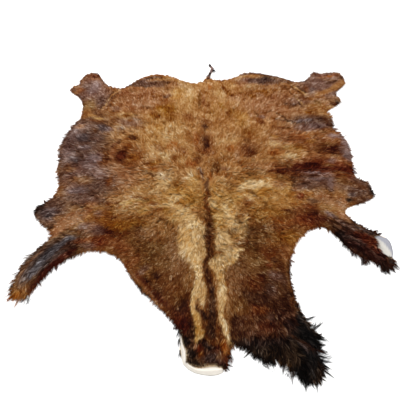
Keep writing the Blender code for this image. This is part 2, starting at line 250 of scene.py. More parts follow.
RUMP_PATCHES = patches(
    (Shade.CHESTNUT, -795, 1000, 65, 23, 0, 0.9), (Shade.ROSE_TAN, -790, 965, 52, 13, 0, 0.8),
    (Shade.LILAC, -790, 860, 50, 66, 0, 0.6), (Shade.DUSK, -840, 880, 39, 46, 0, 0.9),
    (Shade.ROSE_TAN, -890, 840, 46, 29, 0, 0.9), (Shade.DUSK, -925, 845, 19, 26, 0, 0.7),
    (Shade.MAUVE, -870, 765, 39, 33, 0, 0.8), (Shade.COCOA, -840, 755, 13, 13, 0, 0.85),
    (Shade.OLIVE, -790, 660, 55, 77, 0, 0.9), (Shade.TAN, -800, 580, 46, 46, 0, 0.85),
    (Shade.BEIGE, -745, 555, 39, 16, 0, 0.8), (Shade.AMBER, -710, 505, 52, 9, -8, 0.8),
    (Shade.STRAW, -700, 525, 39, 9, -8, 0.8), (Shade.UMBER, -650, 495, 10, 8, 0, 0.8),
    (Shade.UMBER, -640, 460, 10, 8, 0, 0.8), (Shade.DUSK, -720, 720, 39, 65, 0, 0.7),
    (Shade.COCOA, -640, 660, 10, 26, 0, 0.7), (Shade.ROSE_TAN, -550, 800, 65, 39, 20, 0.7),
    (Shade.RUSSET, -550, 800, 52, 26, 20, 0.4), (Shade.OLIVE, -500, 820, 52, 13, -20, 0.5),
    (Shade.AMBER, -445, 745, 21, 18, 20, 0.85), (Shade.MAUVE, -600, 630, 39, 26, 0, 0.6),
    (Shade.RUSSET, -480, 650, 58, 33, 0, 0.6), (Shade.STRAW, -525, 555, 58, 36, 0, 0.5),
    (Shade.AMBER, -525, 550, 34, 18, 0, 1.0), (Shade.WALNUT, -525, 552, 18, 10, 0, 0.8),
    (Shade.AMBER, -490, 510, 23, 16, 0, 0.9), (Shade.COCOA, -470, 565, 16, 7, 0, 0.7),
    (Shade.OLIVE, -330, 970, 88, 17, -5, 0.6), (Shade.MAUVE, -440, 945, 52, 19, 35, 0.7),
    (Shade.DUSK, -330, 880, 65, 23, 0, 0.7), (Shade.SOOT, -410, 868, 33, 18, 0, 0.8),
    (Shade.CHESTNUT, -255, 920, 52, 26, -15, 0.6), (Shade.RUSSET, -210, 880, 52, 39, 0, 0.6),
    (Shade.AMBER, -345, 752, 39, 10, 0, 0.8), (Shade.RUSSET, -420, 775, 26, 16, 20, 0.7),
    (Shade.DUSK, -272, 755, 16, 13, 0, 0.8), (Shade.MAUVE, -245, 765, 33, 19, 0, 0.6),
    (Shade.PALE_ROSE, -420, 690, 65, 52, 0, 0.6), (Shade.WALNUT, -385, 645, 26, 18, 0, 0.7),
    (Shade.WALNUT, -420, 650, 13, 13, 0, 0.6), (Shade.GOLD, -245, 625, 50, 66, -15, 0.95),
    (Shade.AMBER, -232, 610, 26, 58, -15, 0.85), (Shade.GOLD, -305, 640, 33, 26, 0, 0.85),
    (Shade.GOLD, -330, 555, 61, 33, -10, 0.9), (Shade.AMBER, -360, 575, 26, 16, 0, 0.7),
    (Shade.AMBER, -300, 545, 26, 26, 0, 0.6), (Shade.GOLD, -225, 535, 33, 33, 0, 0.8),
    (Shade.HONEY, -260, 560, 23, 18, 0, 0.7), (Shade.GOLD, -240, 495, 52, 16, 0, 0.7),
    (Shade.HONEY, -190, 800, 46, 65, 0, 0.6), (Shade.HONEY, -200, 745, 52, 26, 0, 0.5),
    (Shade.BEIGE, -100, 720, 44, 66, 0, 0.75), (Shade.OLIVE, -35, 720, 13, 99, 0, 0.7),
    (Shade.GOLD, -35, 745, 10, 39, 0, 0.5), (Shade.ROSE_TAN, -10, 720, 11, 77, 0, 0.7),
    (Shade.AMBER, 25, 660, 13, 52, -10, 0.7), (Shade.AMBER, 15, 590, 33, 19, -20, 0.8),
    (Shade.BEIGE, 60, 640, 21, 39, 0, 0.7), (Shade.CHESTNUT, 10, 930, 8, 18, 0, 0.8),
    (Shade.COPPER, 32, 870, 13, 39, 0, 0.75), (Shade.BEIGE, 85, 880, 16, 65, 0, 0.6),
    (Shade.GOLD, 112, 660, 58, 21, -60, 0.75), (Shade.AMBER, 155, 575, 18, 33, 0, 0.8),
    (Shade.AMBER, 190, 620, 34, 18, 20, 0.75), (Shade.GOLD, 180, 590, 26, 39, -20, 0.7),
    (Shade.GOLD, 235, 475, 39, 34, 0, 0.6), (Shade.HONEY, 240, 550, 52, 52, 0, 0.6),
    (Shade.RUSSET, -115, 550, 39, 33, -30, 0.5), (Shade.RUSSET, -70, 520, 26, 16, 0, 0.5),
    (Shade.CHESTNUT, 0, 470, 46, 58, 0, 0.75), (Shade.UMBER, 0, 450, 18, 28, 0, 0.85),
    (Shade.AMBER, 30, 460, 16, 26, 0, 0.6), (Shade.DUSK, 330, 935, 65, 33, 0, 0.7),
    (Shade.BRICK, 300, 930, 16, 26, 0, 0.85), (Shade.COCOA, 370, 950, 26, 18, 0, 0.7),
    (Shade.SOOT, 405, 925, 33, 29, 0, 0.85), (Shade.SOOT, 450, 945, 65, 34, -10, 0.8),
    (Shade.DUSK, 500, 920, 52, 26, -15, 0.75), (Shade.SOOT, 460, 975, 65, 16, -8, 0.8),
    (Shade.DUSK, 560, 930, 65, 19, -25, 0.8), (Shade.MAUVE, 440, 893, 66, 13, 0, 0.7),
    (Shade.ROSE_TAN, 260, 900, 46, 39, 0, 0.7), (Shade.BEIGE, 190, 880, 39, 39, 0, 0.6),
    (Shade.OLIVE, 330, 870, 65, 16, 0, 0.5), (Shade.FAWN, 560, 860, 52, 26, 0, 0.7),
    (Shade.PALE_ROSE, 210, 740, 52, 33, 0, 0.7), (Shade.PALE_ROSE, 330, 660, 66, 33, 0, 0.6),
    (Shade.AMBER, 430, 785, 36, 46, 0, 0.85), (Shade.AMBER, 330, 765, 49, 29, -10, 0.95),
    (Shade.PALE_ROSE, 385, 740, 29, 31, 0, 0.75), (Shade.ROSE_TAN, 510, 750, 66, 33, 0, 0.7),
    (Shade.RUSSET, 530, 760, 52, 26, 0, 0.4), (Shade.UMBER, 555, 685, 13, 8, 0, 0.8),
    (Shade.DUSK, 600, 670, 26, 16, 0, 0.7), (Shade.WALNUT, 580, 640, 21, 8, 20, 0.7),
    (Shade.PALE_ROSE, 440, 680, 39, 8, 45, 0.6), (Shade.WALNUT, 435, 610, 26, 8, 25, 0.7),
    (Shade.PALE_ROSE, 300, 565, 18, 21, 0, 0.7), (Shade.LILAC, 375, 545, 26, 18, 0, 0.5),
    (Shade.RUSSET, 365, 490, 29, 21, -20, 0.85), (Shade.AMBER, 445, 530, 23, 18, 0, 0.85),
    (Shade.CHESTNUT, 475, 515, 26, 12, -15, 0.85), (Shade.BRICK, 515, 500, 16, 8, 0, 0.8),
    (Shade.SLATE, 615, 495, 26, 16, 0, 0.8), (Shade.SLATE, 660, 505, 52, 16, 0, 0.7),
    (Shade.COCOA, 645, 515, 13, 10, 0, 0.7), (Shade.MAUVE, 660, 435, 88, 39, 0, 0.85),
    (Shade.COCOA, 640, 480, 21, 10, 0, 0.7), (Shade.LILAC, 730, 455, 65, 26, 0, 0.6),
    (Shade.CHESTNUT, 485, 437, 26, 14, 15, 0.9), (Shade.AMBER, 530, 432, 23, 16, 10, 0.85),
    (Shade.BRICK, 870, 1000, 39, 18, 0, 0.7), (Shade.COPPER, 910, 1000, 29, 16, 0, 0.8),
    (Shade.BRICK, 955, 1010, 39, 13, -10, 0.8), (Shade.COCOA, 990, 990, 18, 26, 0, 0.8),
    (Shade.ROSE_TAN, 850, 980, 39, 16, 0, 0.6), (Shade.FAWN, 900, 955, 52, 16, 0, 0.6),
    (Shade.TAN, 990, 920, 26, 46, 0, 0.85), (Shade.SLATE, 765, 830, 33, 39, 0, 0.6),
    (Shade.RUSSET, 720, 845, 18, 39, 0, 0.6), (Shade.AMBER, 790, 755, 46, 14, 0, 0.85),
    (Shade.AMBER, 735, 725, 23, 16, 0, 0.8), (Shade.COCOA, 755, 712, 13, 9, 0, 0.8),
    (Shade.MAUVE, 905, 800, 18, 18, 0, 0.7), (Shade.WALNUT, 870, 745, 26, 13, 0, 0.7),
    (Shade.ROSE_TAN, 845, 685, 39, 18, 0, 0.8), (Shade.OXBLOOD, 895, 700, 21, 26, 0, 0.9),
    (Shade.EBONY, 912, 712, 18, 31, 0, 1.0), (Shade.COCOA, 870, 685, 18, 16, 0, 0.7),
    (Shade.RUSSET, 800, 632, 26, 9, -20, 0.7), (Shade.OLIVE, 770, 690, 26, 33, 0, 0.7),
    (Shade.BEIGE, 720, 665, 26, 13, 0, 0.5), (Shade.GOLD, 685, 590, 29, 18, 0, 0.8),
    (Shade.GOLD, 705, 610, 18, 13, 0, 0.6), (Shade.TAN, 770, 610, 39, 26, 0, 0.6),
    (Shade.WALNUT, 790, 530, 21, 39, 0, 0.7), (Shade.OXBLOOD, 800, 475, 13, 13, 0, 0.85),
    (Shade.SOOT, 825, 465, 16, 13, 0, 0.7),
)

BACK_PATCHES = patches(
    (Shade.SLATE, -650, 420, 39, 33, 0, 0.85), (Shade.SLATE, -670, 450, 33, 26, 0, 0.8),
    (Shade.LILAC, -620, 420, 26, 26, 0, 0.6), (Shade.WALNUT, -700, 410, 23, 21, 0, 0.7),
    (Shade.ROSE_TAN, -800, 445, 39, 26, 0, 0.8), (Shade.DUSK, -750, 440, 39, 26, 0, 0.7),
    (Shade.SLATE, -770, 340, 46, 39, 0, 0.95), (Shade.DUSK, -680, 340, 46, 39, 0, 0.9),
    (Shade.COCOA, -835, 280, 29, 39, 0, 0.6), (Shade.COCOA, -780, 265, 26, 8, 0, 0.8),
    (Shade.COCOA, -780, 225, 26, 8, 0, 0.8), (Shade.LILAC, -740, 250, 39, 26, 0, 0.7),
    (Shade.WALNUT, -600, 232, 26, 7, -20, 0.8), (Shade.WALNUT, -455, 345, 39, 21, -20, 0.85),
    (Shade.WALNUT, -525, 395, 26, 16, 0, 0.8), (Shade.DUSK, -550, 430, 26, 16, 0, 0.7),
    (Shade.TAN, -480, 430, 26, 21, 0, 0.6), (Shade.AMBER, -420, 437, 23, 23, 0, 0.65),
    (Shade.ROSE_TAN, -565, 200, 16, 65, 0, 0.8), (Shade.AMBER, -470, 270, 33, 33, 0, 0.8),
    (Shade.AMBER, -500, 235, 33, 33, 0, 0.7), (Shade.AMBER, -440, 170, 39, 39, 0, 0.9),
    (Shade.AMBER, -470, 120, 26, 26, 0, 0.8), (Shade.OXBLOOD, -508, 188, 42, 65, -8, 1.0),
    (Shade.WALNUT, -613, 175, 16, 16, 0, 0.8), (Shade.CHESTNUT, -600, 120, 18, 16, 0, 0.8),
    (Shade.LILAC, -670, 170, 46, 39, 0, 0.85), (Shade.WALNUT, -740, 165, 26, 8, 0, 0.7),
    (Shade.SLATE, -790, 150, 39, 26, 0, 0.8), (Shade.WALNUT, -820, 100, 26, 21, 0, 0.7),
    (Shade.COCOA, -850, 45, 26, 18, 0, 0.8), (Shade.FAWN, -800, 70, 39, 21, 0, 0.8),
    (Shade.FAWN, -720, -10, 77, 33, 0, 0.85), (Shade.MAUVE, -620, 30, 33, 26, 0, 0.8),
    (Shade.COCOA, -630, -5, 26, 7, 0, 0.7), (Shade.AMBER, -560, -15, 18, 39, 0, 0.85),
    (Shade.DUSK, -630, -55, 39, 18, 0, 0.5), (Shade.LILAC, -740, -85, 65, 26, 0, 0.85),
    (Shade.DUSK, -750, -130, 52, 21, 0, 0.6), (Shade.ROSE_TAN, -630, -180, 39, 18, 0, 0.8),
    (Shade.COCOA, -575, -175, 39, 21, -20, 0.8), (Shade.CHESTNUT, -520, -180, 52, 21, 10, 0.7),
    (Shade.UMBER, -680, -200, 21, 7, 0, 0.8), (Shade.UMBER, -730, -185, 21, 7, 0, 0.8),
    (Shade.BEIGE, -400, -80, 46, 18, 0, 0.7), (Shade.MAUVE, -585, -245, 26, 26, 0, 0.7),
    (Shade.EBONY, -925, -200, 39, 58, 0, 0.8), (Shade.SLATE, -860, -240, 52, 39, 0, 0.85),
    (Shade.UMBER, -820, -225, 26, 16, 0, 0.7), (Shade.JET, -870, -260, 26, 8, 0, 0.8),
    (Shade.FAWN, -800, -270, 39, 23, 0, 0.8), (Shade.UMBER, -835, -330, 18, 13, 0, 0.85),
    (Shade.BEIGE, -310, 375, 36, 52, 0, 0.8), (Shade.OAT, -305, 380, 21, 33, 0, 0.5),
    (Shade.HONEY, -300, 435, 39, 26, -50, 0.6), (Shade.BEIGE, -170, 460, 39, 52, 0, 0.7),
    (Shade.RUSSET, -55, 320, 26, 83, 0, 0.85), (Shade.COPPER, -55, 330, 19, 65, 0, 0.5),
    (Shade.BEIGE, -42, 405, 8, 33, 15, 0.7), (Shade.COCOA, 0, 335, 29, 33, 0, 0.9),
    (Shade.CHESTNUT, 2, 270, 26, 66, 0, 0.95), (Shade.UMBER, 3, 280, 18, 50, 0, 0.7),
    (Shade.RUSSET, 20, 210, 39, 39, 0, 0.6), (Shade.RUSSET, -140, 225, 26, 33, 0, 0.6),
    (Shade.COPPER, -205, 270, 39, 46, 0, 0.6), (Shade.RUSSET, -185, 230, 26, 19, 0, 0.5),
    (Shade.AMBER, -275, 235, 29, 29, 0, 0.7), (Shade.RUSSET, -290, 255, 26, 19, 0, 0.5),
    (Shade.OAT, -240, 175, 34, 39, 0, 0.7), (Shade.AMBER, -185, 165, 31, 21, -20, 0.9),
    (Shade.BEIGE, -145, 145, 29, 39, 0, 0.7), (Shade.BEIGE, -90, 200, 16, 52, 0, 0.7),
    (Shade.COPPER, -85, 120, 36, 29, -40, 0.7), (Shade.CHESTNUT, -45, 145, 26, 31, 0, 0.9),
    (Shade.AMBER, 50, 120, 46, 33, 0, 0.75), (Shade.BRONZE, 60, 90, 33, 39, 0, 0.7),
    (Shade.WALNUT, 52, 55, 23, 16, 0, 0.8), (Shade.AMBER, -340, 115, 39, 18, 0, 0.8),
    (Shade.GOLD, -300, 125, 39, 21, 20, 0.75), (Shade.WALNUT, -360, 120, 18, 10, 0, 0.6),
    (Shade.COPPER, -315, 75, 46, 16, -10, 0.6), (Shade.COCOA, -222, 27, 9, 8, 0, 0.8),
    (Shade.COCOA, -430, 65, 18, 7, 20, 0.7), (Shade.OAT, -255, -35, 39, 39, 0, 0.7),
    (Shade.MAUVE, -235, 0, 16, 13, 0, 0.6), (Shade.COCOA, -207, -60, 5, 16, 0, 0.8),
    (Shade.GOLD, -165, -50, 33, 58, 0, 0.6), (Shade.STRAW, -70, -20, 39, 52, 0, 0.7),
    (Shade.OAT, -90, 50, 26, 26, 0, 0.6), (Shade.WALNUT, 18, -130, 10, 13, 0, 0.8),
    (Shade.WALNUT, 0, -155, 13, 18, 0, 0.7), (Shade.COPPER, 25, 10, 16, 26, 0, 0.6),
    (Shade.BEIGE, 85, -30, 39, 39, 0, 0.8), (Shade.HONEY, 45, -80, 26, 52, 0, 0.6),
    (Shade.HONEY, 70, -135, 26, 19, 0, 0.7), (Shade.WALNUT, 130, -35, 16, 16, 0, 0.7),
    (Shade.WALNUT, 150, -50, 13, 13, 0, 0.6), (Shade.WALNUT, 140, -85, 16, 13, 0, 0.7),
    (Shade.AMBER, 175, -55, 16, 18, 0, 0.7), (Shade.AMBER, 185, -85, 18, 16, 0, 0.7),
    (Shade.WALNUT, -390, -140, 39, 16, -10, 0.7), (Shade.CHESTNUT, -370, -155, 52, 18, -10, 0.5),
    (Shade.RUSSET, -295, -185, 39, 16, 0, 0.7), (Shade.AMBER, -230, -222, 36, 13, 10, 0.85),
    (Shade.AMBER, 420, 365, 17, 26, 0, 0.85), (Shade.HONEY, 440, 350, 26, 13, 0, 0.5),
    (Shade.AMBER, 535, 345, 23, 26, 0, 0.75), (Shade.GOLD, 275, 390, 46, 39, 0, 0.55),
    (Shade.BRONZE, 260, 310, 23, 29, 0, 0.75), (Shade.CHESTNUT, 268, 230, 42, 65, 0, 0.8),
    (Shade.UMBER, 268, 235, 18, 30, 0, 0.5), (Shade.COPPER, 165, 245, 39, 26, 0, 0.6),
    (Shade.RUSSET, 205, 245, 26, 26, 0, 0.5), (Shade.BEIGE, 140, 315, 65, 26, 0, 0.7),
    (Shade.OAT, 425, 290, 46, 26, 0, 0.7), (Shade.STRAW, 505, 250, 33, 23, -20, 0.6),
    (Shade.OAT, 520, 185, 46, 21, -10, 0.75), (Shade.COPPER, 430, 215, 46, 29, 0, 0.75),
    (Shade.AMBER, 425, 200, 26, 16, 0, 0.6), (Shade.GOLD, 570, 255, 58, 33, 0, 0.75),
    (Shade.AMBER, 600, 270, 26, 26, 0, 0.6), (Shade.GOLD, 560, 200, 26, 26, 0, 0.6),
    (Shade.TAN, 670, 370, 52, 26, 0, 0.6), (Shade.COPPER, 620, 360, 65, 26, 0, 0.5),
    (Shade.CHESTNUT, 695, 335, 21, 34, 0, 0.9), (Shade.BRONZE, 750, 395, 26, 16, 0, 0.7),
    (Shade.GOLD, 650, 310, 39, 21, 0, 0.6), (Shade.BRONZE, 750, 285, 39, 18, 0, 0.75),
    (Shade.RUSSET, 790, 305, 26, 18, 0, 0.7), (Shade.WALNUT, 700, 235, 39, 18, 15, 0.85),
    (Shade.OXBLOOD, 780, 235, 58, 36, 10, 0.95), (Shade.UMBER, 790, 228, 26, 16, 0, 0.6),
    (Shade.MAUVE, 845, 220, 26, 65, 0, 0.85), (Shade.FAWN, 780, 180, 39, 18, 0, 0.8),
    (Shade.ROSE_TAN, 640, 175, 52, 21, 0, 0.65), (Shade.MAUVE, 755, 145, 29, 18, 0, 0.85),
    (Shade.CHESTNUT, 830, 140, 18, 16, 0, 0.8), (Shade.BRONZE, 730, 105, 39, 21, 0, 0.8),
    (Shade.BRONZE, 480, 115, 58, 23, 0, 0.85), (Shade.PALE_ROSE, 190, 185, 18, 39, 0, 0.7),
    (Shade.RUSSET, 225, 195, 26, 26, 0, 0.5), (Shade.AMBER, 120, 165, 39, 23, 0, 0.7),
    (Shade.AMBER, 220, 125, 31, 23, 0, 0.85), (Shade.MAUVE, 115, 75, 33, 16, 0, 0.5),
    (Shade.WALNUT, 165, 78, 10, 7, 0, 0.6), (Shade.WALNUT, 295, 75, 21, 10, 0, 0.8),
    (Shade.WALNUT, 345, 70, 21, 10, 0, 0.8), (Shade.OLIVE, 270, 35, 39, 16, 0, 0.6),
    (Shade.OLIVE, 330, 35, 39, 18, 0, 0.6), (Shade.COCOA, 530, 25, 46, 26, 0, 0.8),
    (Shade.COCOA, 515, -30, 23, 39, 0, 0.85), (Shade.LILAC, 640, 45, 66, 11, -5, 0.8),
    (Shade.COCOA, 620, 25, 39, 9, 0, 0.8), (Shade.LILAC, 650, 0, 65, 13, 0, 0.6),
    (Shade.DUSK, 600, -50, 65, 39, 0, 0.7), (Shade.BRICK, 525, -130, 29, 26, 0, 0.9),
    (Shade.ROSE_TAN, 510, -80, 26, 16, 0, 0.6), (Shade.ROSE_TAN, 670, -130, 66, 33, -35, 0.85),
    (Shade.DUSK, 600, -160, 39, 26, 0, 0.7), (Shade.LILAC, 720, -40, 18, 52, 0, 0.6),
    (Shade.BRONZE, 790, 0, 39, 39, 0, 0.85), (Shade.WALNUT, 780, 45, 39, 26, 0, 0.8),
    (Shade.WALNUT, 820, -20, 65, 21, 0, 0.8), (Shade.WALNUT, 880, -45, 65, 21, -15, 0.7),
    (Shade.SLATE, 830, -110, 26, 21, 0, 0.7), (Shade.DUSK, 880, -160, 52, 26, 0, 0.7),
    (Shade.LILAC, 922, -150, 16, 23, 0, 0.8), (Shade.ROSE_TAN, 760, -170, 46, 52, 0, 0.95),
    (Shade.PALE_ROSE, 765, -170, 26, 33, 0, 0.5), (Shade.EBONY, 810, -145, 21, 16, 0, 0.95),
    (Shade.EBONY, 952, -90, 13, 61, 5, 0.95), (Shade.WALNUT, 255, -105, 26, 13, -20, 0.8),
    (Shade.UMBER, 275, -130, 13, 10, 0, 0.9), (Shade.RUSSET, 230, -165, 39, 39, 0, 0.8),
    (Shade.WALNUT, 330, -185, 13, 16, 0, 0.8), (Shade.RUSSET, 300, -150, 26, 13, -30, 0.6),
    (Shade.BEIGE, 400, -140, 65, 52, 0, 0.7), (Shade.ROSE_TAN, 420, -40, 52, 39, 0, 0.7),
    (Shade.OLIVE, 440, 10, 39, 26, 0, 0.7), (Shade.GOLD, 240, -14, 52, 7, 0, 0.6),
    (Shade.STRAW, 170, -150, 39, 21, 0, 0.6),
)

HUMP_PATCHES = patches(
    (Shade.BEIGE, -390, -215, 100, 35, 0, 0.8), (Shade.STRAW, -345, -230, 30, 30, 0, 0.7),
    (Shade.COPPER, -460, -205, 40, 18, 0, 0.4), (Shade.AMBER, -520, -195, 26, 16, 0, 0.8),
    (Shade.AMBER, -520, -270, 60, 60, 0, 0.85), (Shade.OXBLOOD, -505, -272, 30, 16, 0, 0.7),
    (Shade.GOLD, -460, -330, 80, 40, 0, 0.8), (Shade.GOLD, -370, -310, 60, 30, 0, 0.6),
    (Shade.WALNUT, -355, -282, 30, 7, -12, 0.9), (Shade.OXBLOOD, -530, -365, 70, 28, -20, 0.9),
    (Shade.BRICK, -555, -425, 50, 36, 12, 0.9), (Shade.CHESTNUT, -430, -380, 50, 16, 8, 0.7),
    (Shade.WALNUT, -355, -365, 32, 45, 0, 0.95), (Shade.UMBER, -350, -345, 20, 16, 0, 0.5),
    (Shade.GOLD, -320, -335, 24, 16, 0, 0.6), (Shade.RUSSET, -475, -435, 60, 30, -20, 0.9),
    (Shade.RUSSET, -420, -480, 60, 40, -30, 0.85), (Shade.WALNUT, -355, -455, 24, 40, 0, 0.8),
    (Shade.FAWN, -300, -385, 60, 50, -10, 0.75), (Shade.TAN, -270, -300, 50, 40, 0, 0.6),
    (Shade.WALNUT, -245, -285, 34, 5, -24, 0.75), (Shade.WALNUT, -240, -310, 30, 4, -24, 0.6),
    (Shade.GOLD, -215, -235, 30, 30, 20, 0.7), (Shade.RUSSET, -375, -540, 30, 50, -50, 0.8),
    (Shade.OLIVE, -250, -470, 60, 50, 0, 0.5), (Shade.MAUVE, -325, -600, 50, 20, 45, 0.55),
    (Shade.UMBER, -255, -620, 26, 20, 0, 0.75), (Shade.UMBER, -300, -655, 30, 18, -45, 0.7),
    (Shade.OLIVE, -215, -560, 50, 40, 0, 0.5), (Shade.OXBLOOD, -230, -740, 80, 18, -42, 0.85),
    (Shade.BRONZE, -130, -740, 34, 60, 0, 0.85), (Shade.CHESTNUT, -150, -690, 40, 20, 0, 0.4),
    (Shade.UMBER, -110, -790, 40, 50, 0, 0.8), (Shade.OXBLOOD, -115, -880, 40, 45, 0, 0.9),
    (Shade.JET, -100, -955, 26, 26, 0, 0.9), (Shade.GOLD, 300, -255, 80, 60, 0, 0.6),
    (Shade.AMBER, 430, -235, 60, 26, 0, 0.85), (Shade.UMBER, 430, -228, 26, 10, 20, 0.6),
    (Shade.AMBER, 360, -225, 40, 16, -20, 0.7), (Shade.AMBER, 380, -290, 70, 24, -4, 0.85),
    (Shade.CHESTNUT, 450, -305, 100, 55, -10, 0.97), (Shade.COPPER, 400, -305, 40, 8, -10, 0.6),
    (Shade.UMBER, 375, -342, 26, 11, 0, 0.95), (Shade.UMBER, 432, -362, 30, 14, -25, 0.95),
    (Shade.CHESTNUT, 400, -350, 70, 28, -12, 0.9), (Shade.FAWN, 310, -345, 40, 18, 15, 0.8),
    (Shade.COCOA, 250, -375, 50, 26, -10, 0.85), (Shade.AMBER, 300, -385, 40, 16, 0, 0.8),
    (Shade.WALNUT, 300, -450, 45, 80, 0, 0.95), (Shade.CHESTNUT, 310, -510, 45, 40, 0, 0.8),
    (Shade.AMBER, 400, -405, 55, 35, -20, 0.9), (Shade.WALNUT, 475, -350, 35, 35, 0, 0.8),
    (Shade.AMBER, 540, -315, 50, 20, 0, 0.6), (Shade.WALNUT, 500, -240, 80, 30, 0, 0.85),
    (Shade.BRICK, 550, -285, 80, 45, 0, 0.9), (Shade.OXBLOOD, 655, -275, 30, 30, 0, 0.8),
    (Shade.OXBLOOD, 600, -260, 50, 50, 0, 0.85), (Shade.RUSSET, 500, -225, 30, 18, 0, 0.7),
    (Shade.BRICK, 535, -120, 24, 20, 0, 0.85), (Shade.BRICK, 570, -200, 50, 24, 0, 0.7),
    (Shade.RUSSET, 180, -430, 40, 10, 0, 0.7), (Shade.COCOA, 240, -440, 40, 20, -10, 0.55),
    (Shade.OLIVE, 260, -540, 45, 35, 0, 0.6), (Shade.CHESTNUT, 340, -490, 50, 50, 0, 0.75),
    (Shade.UMBER, 325, -475, 16, 12, 0, 0.7), (Shade.UMBER, 345, -540, 18, 16, 0, 0.7),
    (Shade.BRICK, 315, -565, 18, 14, 0, 0.8), (Shade.RUSSET, 400, -500, 30, 50, 0, 0.7),
    (Shade.CHESTNUT, 370, -580, 30, 30, 0, 0.6), (Shade.MAUVE, 335, -625, 40, 30, -20, 0.75),
    (Shade.DUSK, 375, -640, 25, 40, 0, 0.6), (Shade.OXBLOOD, 265, -640, 24, 30, 0, 0.75),
    (Shade.OXBLOOD, 235, -685, 40, 24, -20, 0.7), (Shade.UMBER, 200, -740, 40, 40, 0, 0.8),
    (Shade.OXBLOOD, 200, -800, 45, 30, 0, 0.95), (Shade.UMBER, 265, -745, 40, 40, 0, 0.75),
    (Shade.DUSK, 310, -700, 30, 40, 0, 0.65), (Shade.UMBER, 385, -740, 30, 70, 0, 0.7),
    (Shade.WALNUT, 400, -770, 12, 30, 0, 0.7), (Shade.OLIVE, 197, -680, 7, 26, 0, 0.8),
    (Shade.BRONZE, 150, -790, 50, 60, 0, 0.9), (Shade.CHESTNUT, 250, -800, 40, 24, 0, 0.7),
    (Shade.MAUVE, 175, -838, 20, 12, 0, 0.7), (Shade.WALNUT, 160, -840, 50, 40, 0, 0.7),
    (Shade.OXBLOOD, 270, -880, 50, 30, 0, 0.5), (Shade.UMBER, 140, -865, 40, 35, 0, 0.85),
    (Shade.UMBER, 355, -850, 50, 50, 0, 0.9), (Shade.EBONY, 370, -880, 30, 30, 0, 0.8),
    (Shade.DUSK, 300, -835, 18, 20, -60, 0.5), (Shade.UMBER, 200, -920, 110, 18, -4, 0.85),
    (Shade.UMBER, 415, -620, 12, 100, 0, 0.8), (Shade.STRAW, 90, -200, 80, 120, 0, 0.85),
    (Shade.OAT, 170, -360, 45, 60, 0, 0.8), (Shade.CREAM, 30, -160, 28, 30, 0, 0.9),
    (Shade.CREAM, 108, -172, 24, 18, 0, 0.8), (Shade.GOLD, 55, -235, 34, 20, 10, 0.8),
    (Shade.COCOA, 60, -220, 12, 6, -40, 0.7), (Shade.STRAW, 65, -310, 35, 75, 0, 0.9),
    (Shade.COCOA, 158, -356, 12, 10, 0, 0.8), (Shade.WALNUT, 150, -375, 6, 18, 0, 0.6),
    (Shade.CREAM, 210, -302, 14, 28, 0, 0.95), (Shade.STRAW, -155, -270, 50, 50, 0, 0.7),
    (Shade.CREAM, -172, -150, 40, 30, 10, 0.95), (Shade.CREAM, -225, -30, 18, 12, 0, 0.8),
    (Shade.GOLD, -85, -165, 35, 30, 0, 0.7), (Shade.STRAW, -75, -195, 16, 12, 0, 0.7),
    (Shade.CHESTNUT, -80, -800, 20, 40, 0, 0.4), (Shade.OXBLOOD, 70, -1030, 50, 30, 0, 0.85),
    (Shade.EBONY, 80, -1055, 50, 18, 0, 0.85), (Shade.COPPER, 74, -968, 16, 42, 0, 0.85),
    (Shade.OXBLOOD, 38, -960, 14, 40, 0, 0.7), (Shade.AMBER, 65, -965, 12, 20, 0, 0.7),
    (Shade.BRICK, -32, -982, 14, 14, 0, 0.9), (Shade.AMBER, -28, -1007, 14, 14, 0, 0.8),
    (Shade.JET, 2, -968, 20, 16, 0, 0.8), (Shade.JET, -70, -1005, 26, 30, 0, 0.9),
    (Shade.JET, -60, -1045, 50, 16, -8, 0.9), (Shade.SOOT, 20, -1025, 45, 22, 0, 0.8),
)

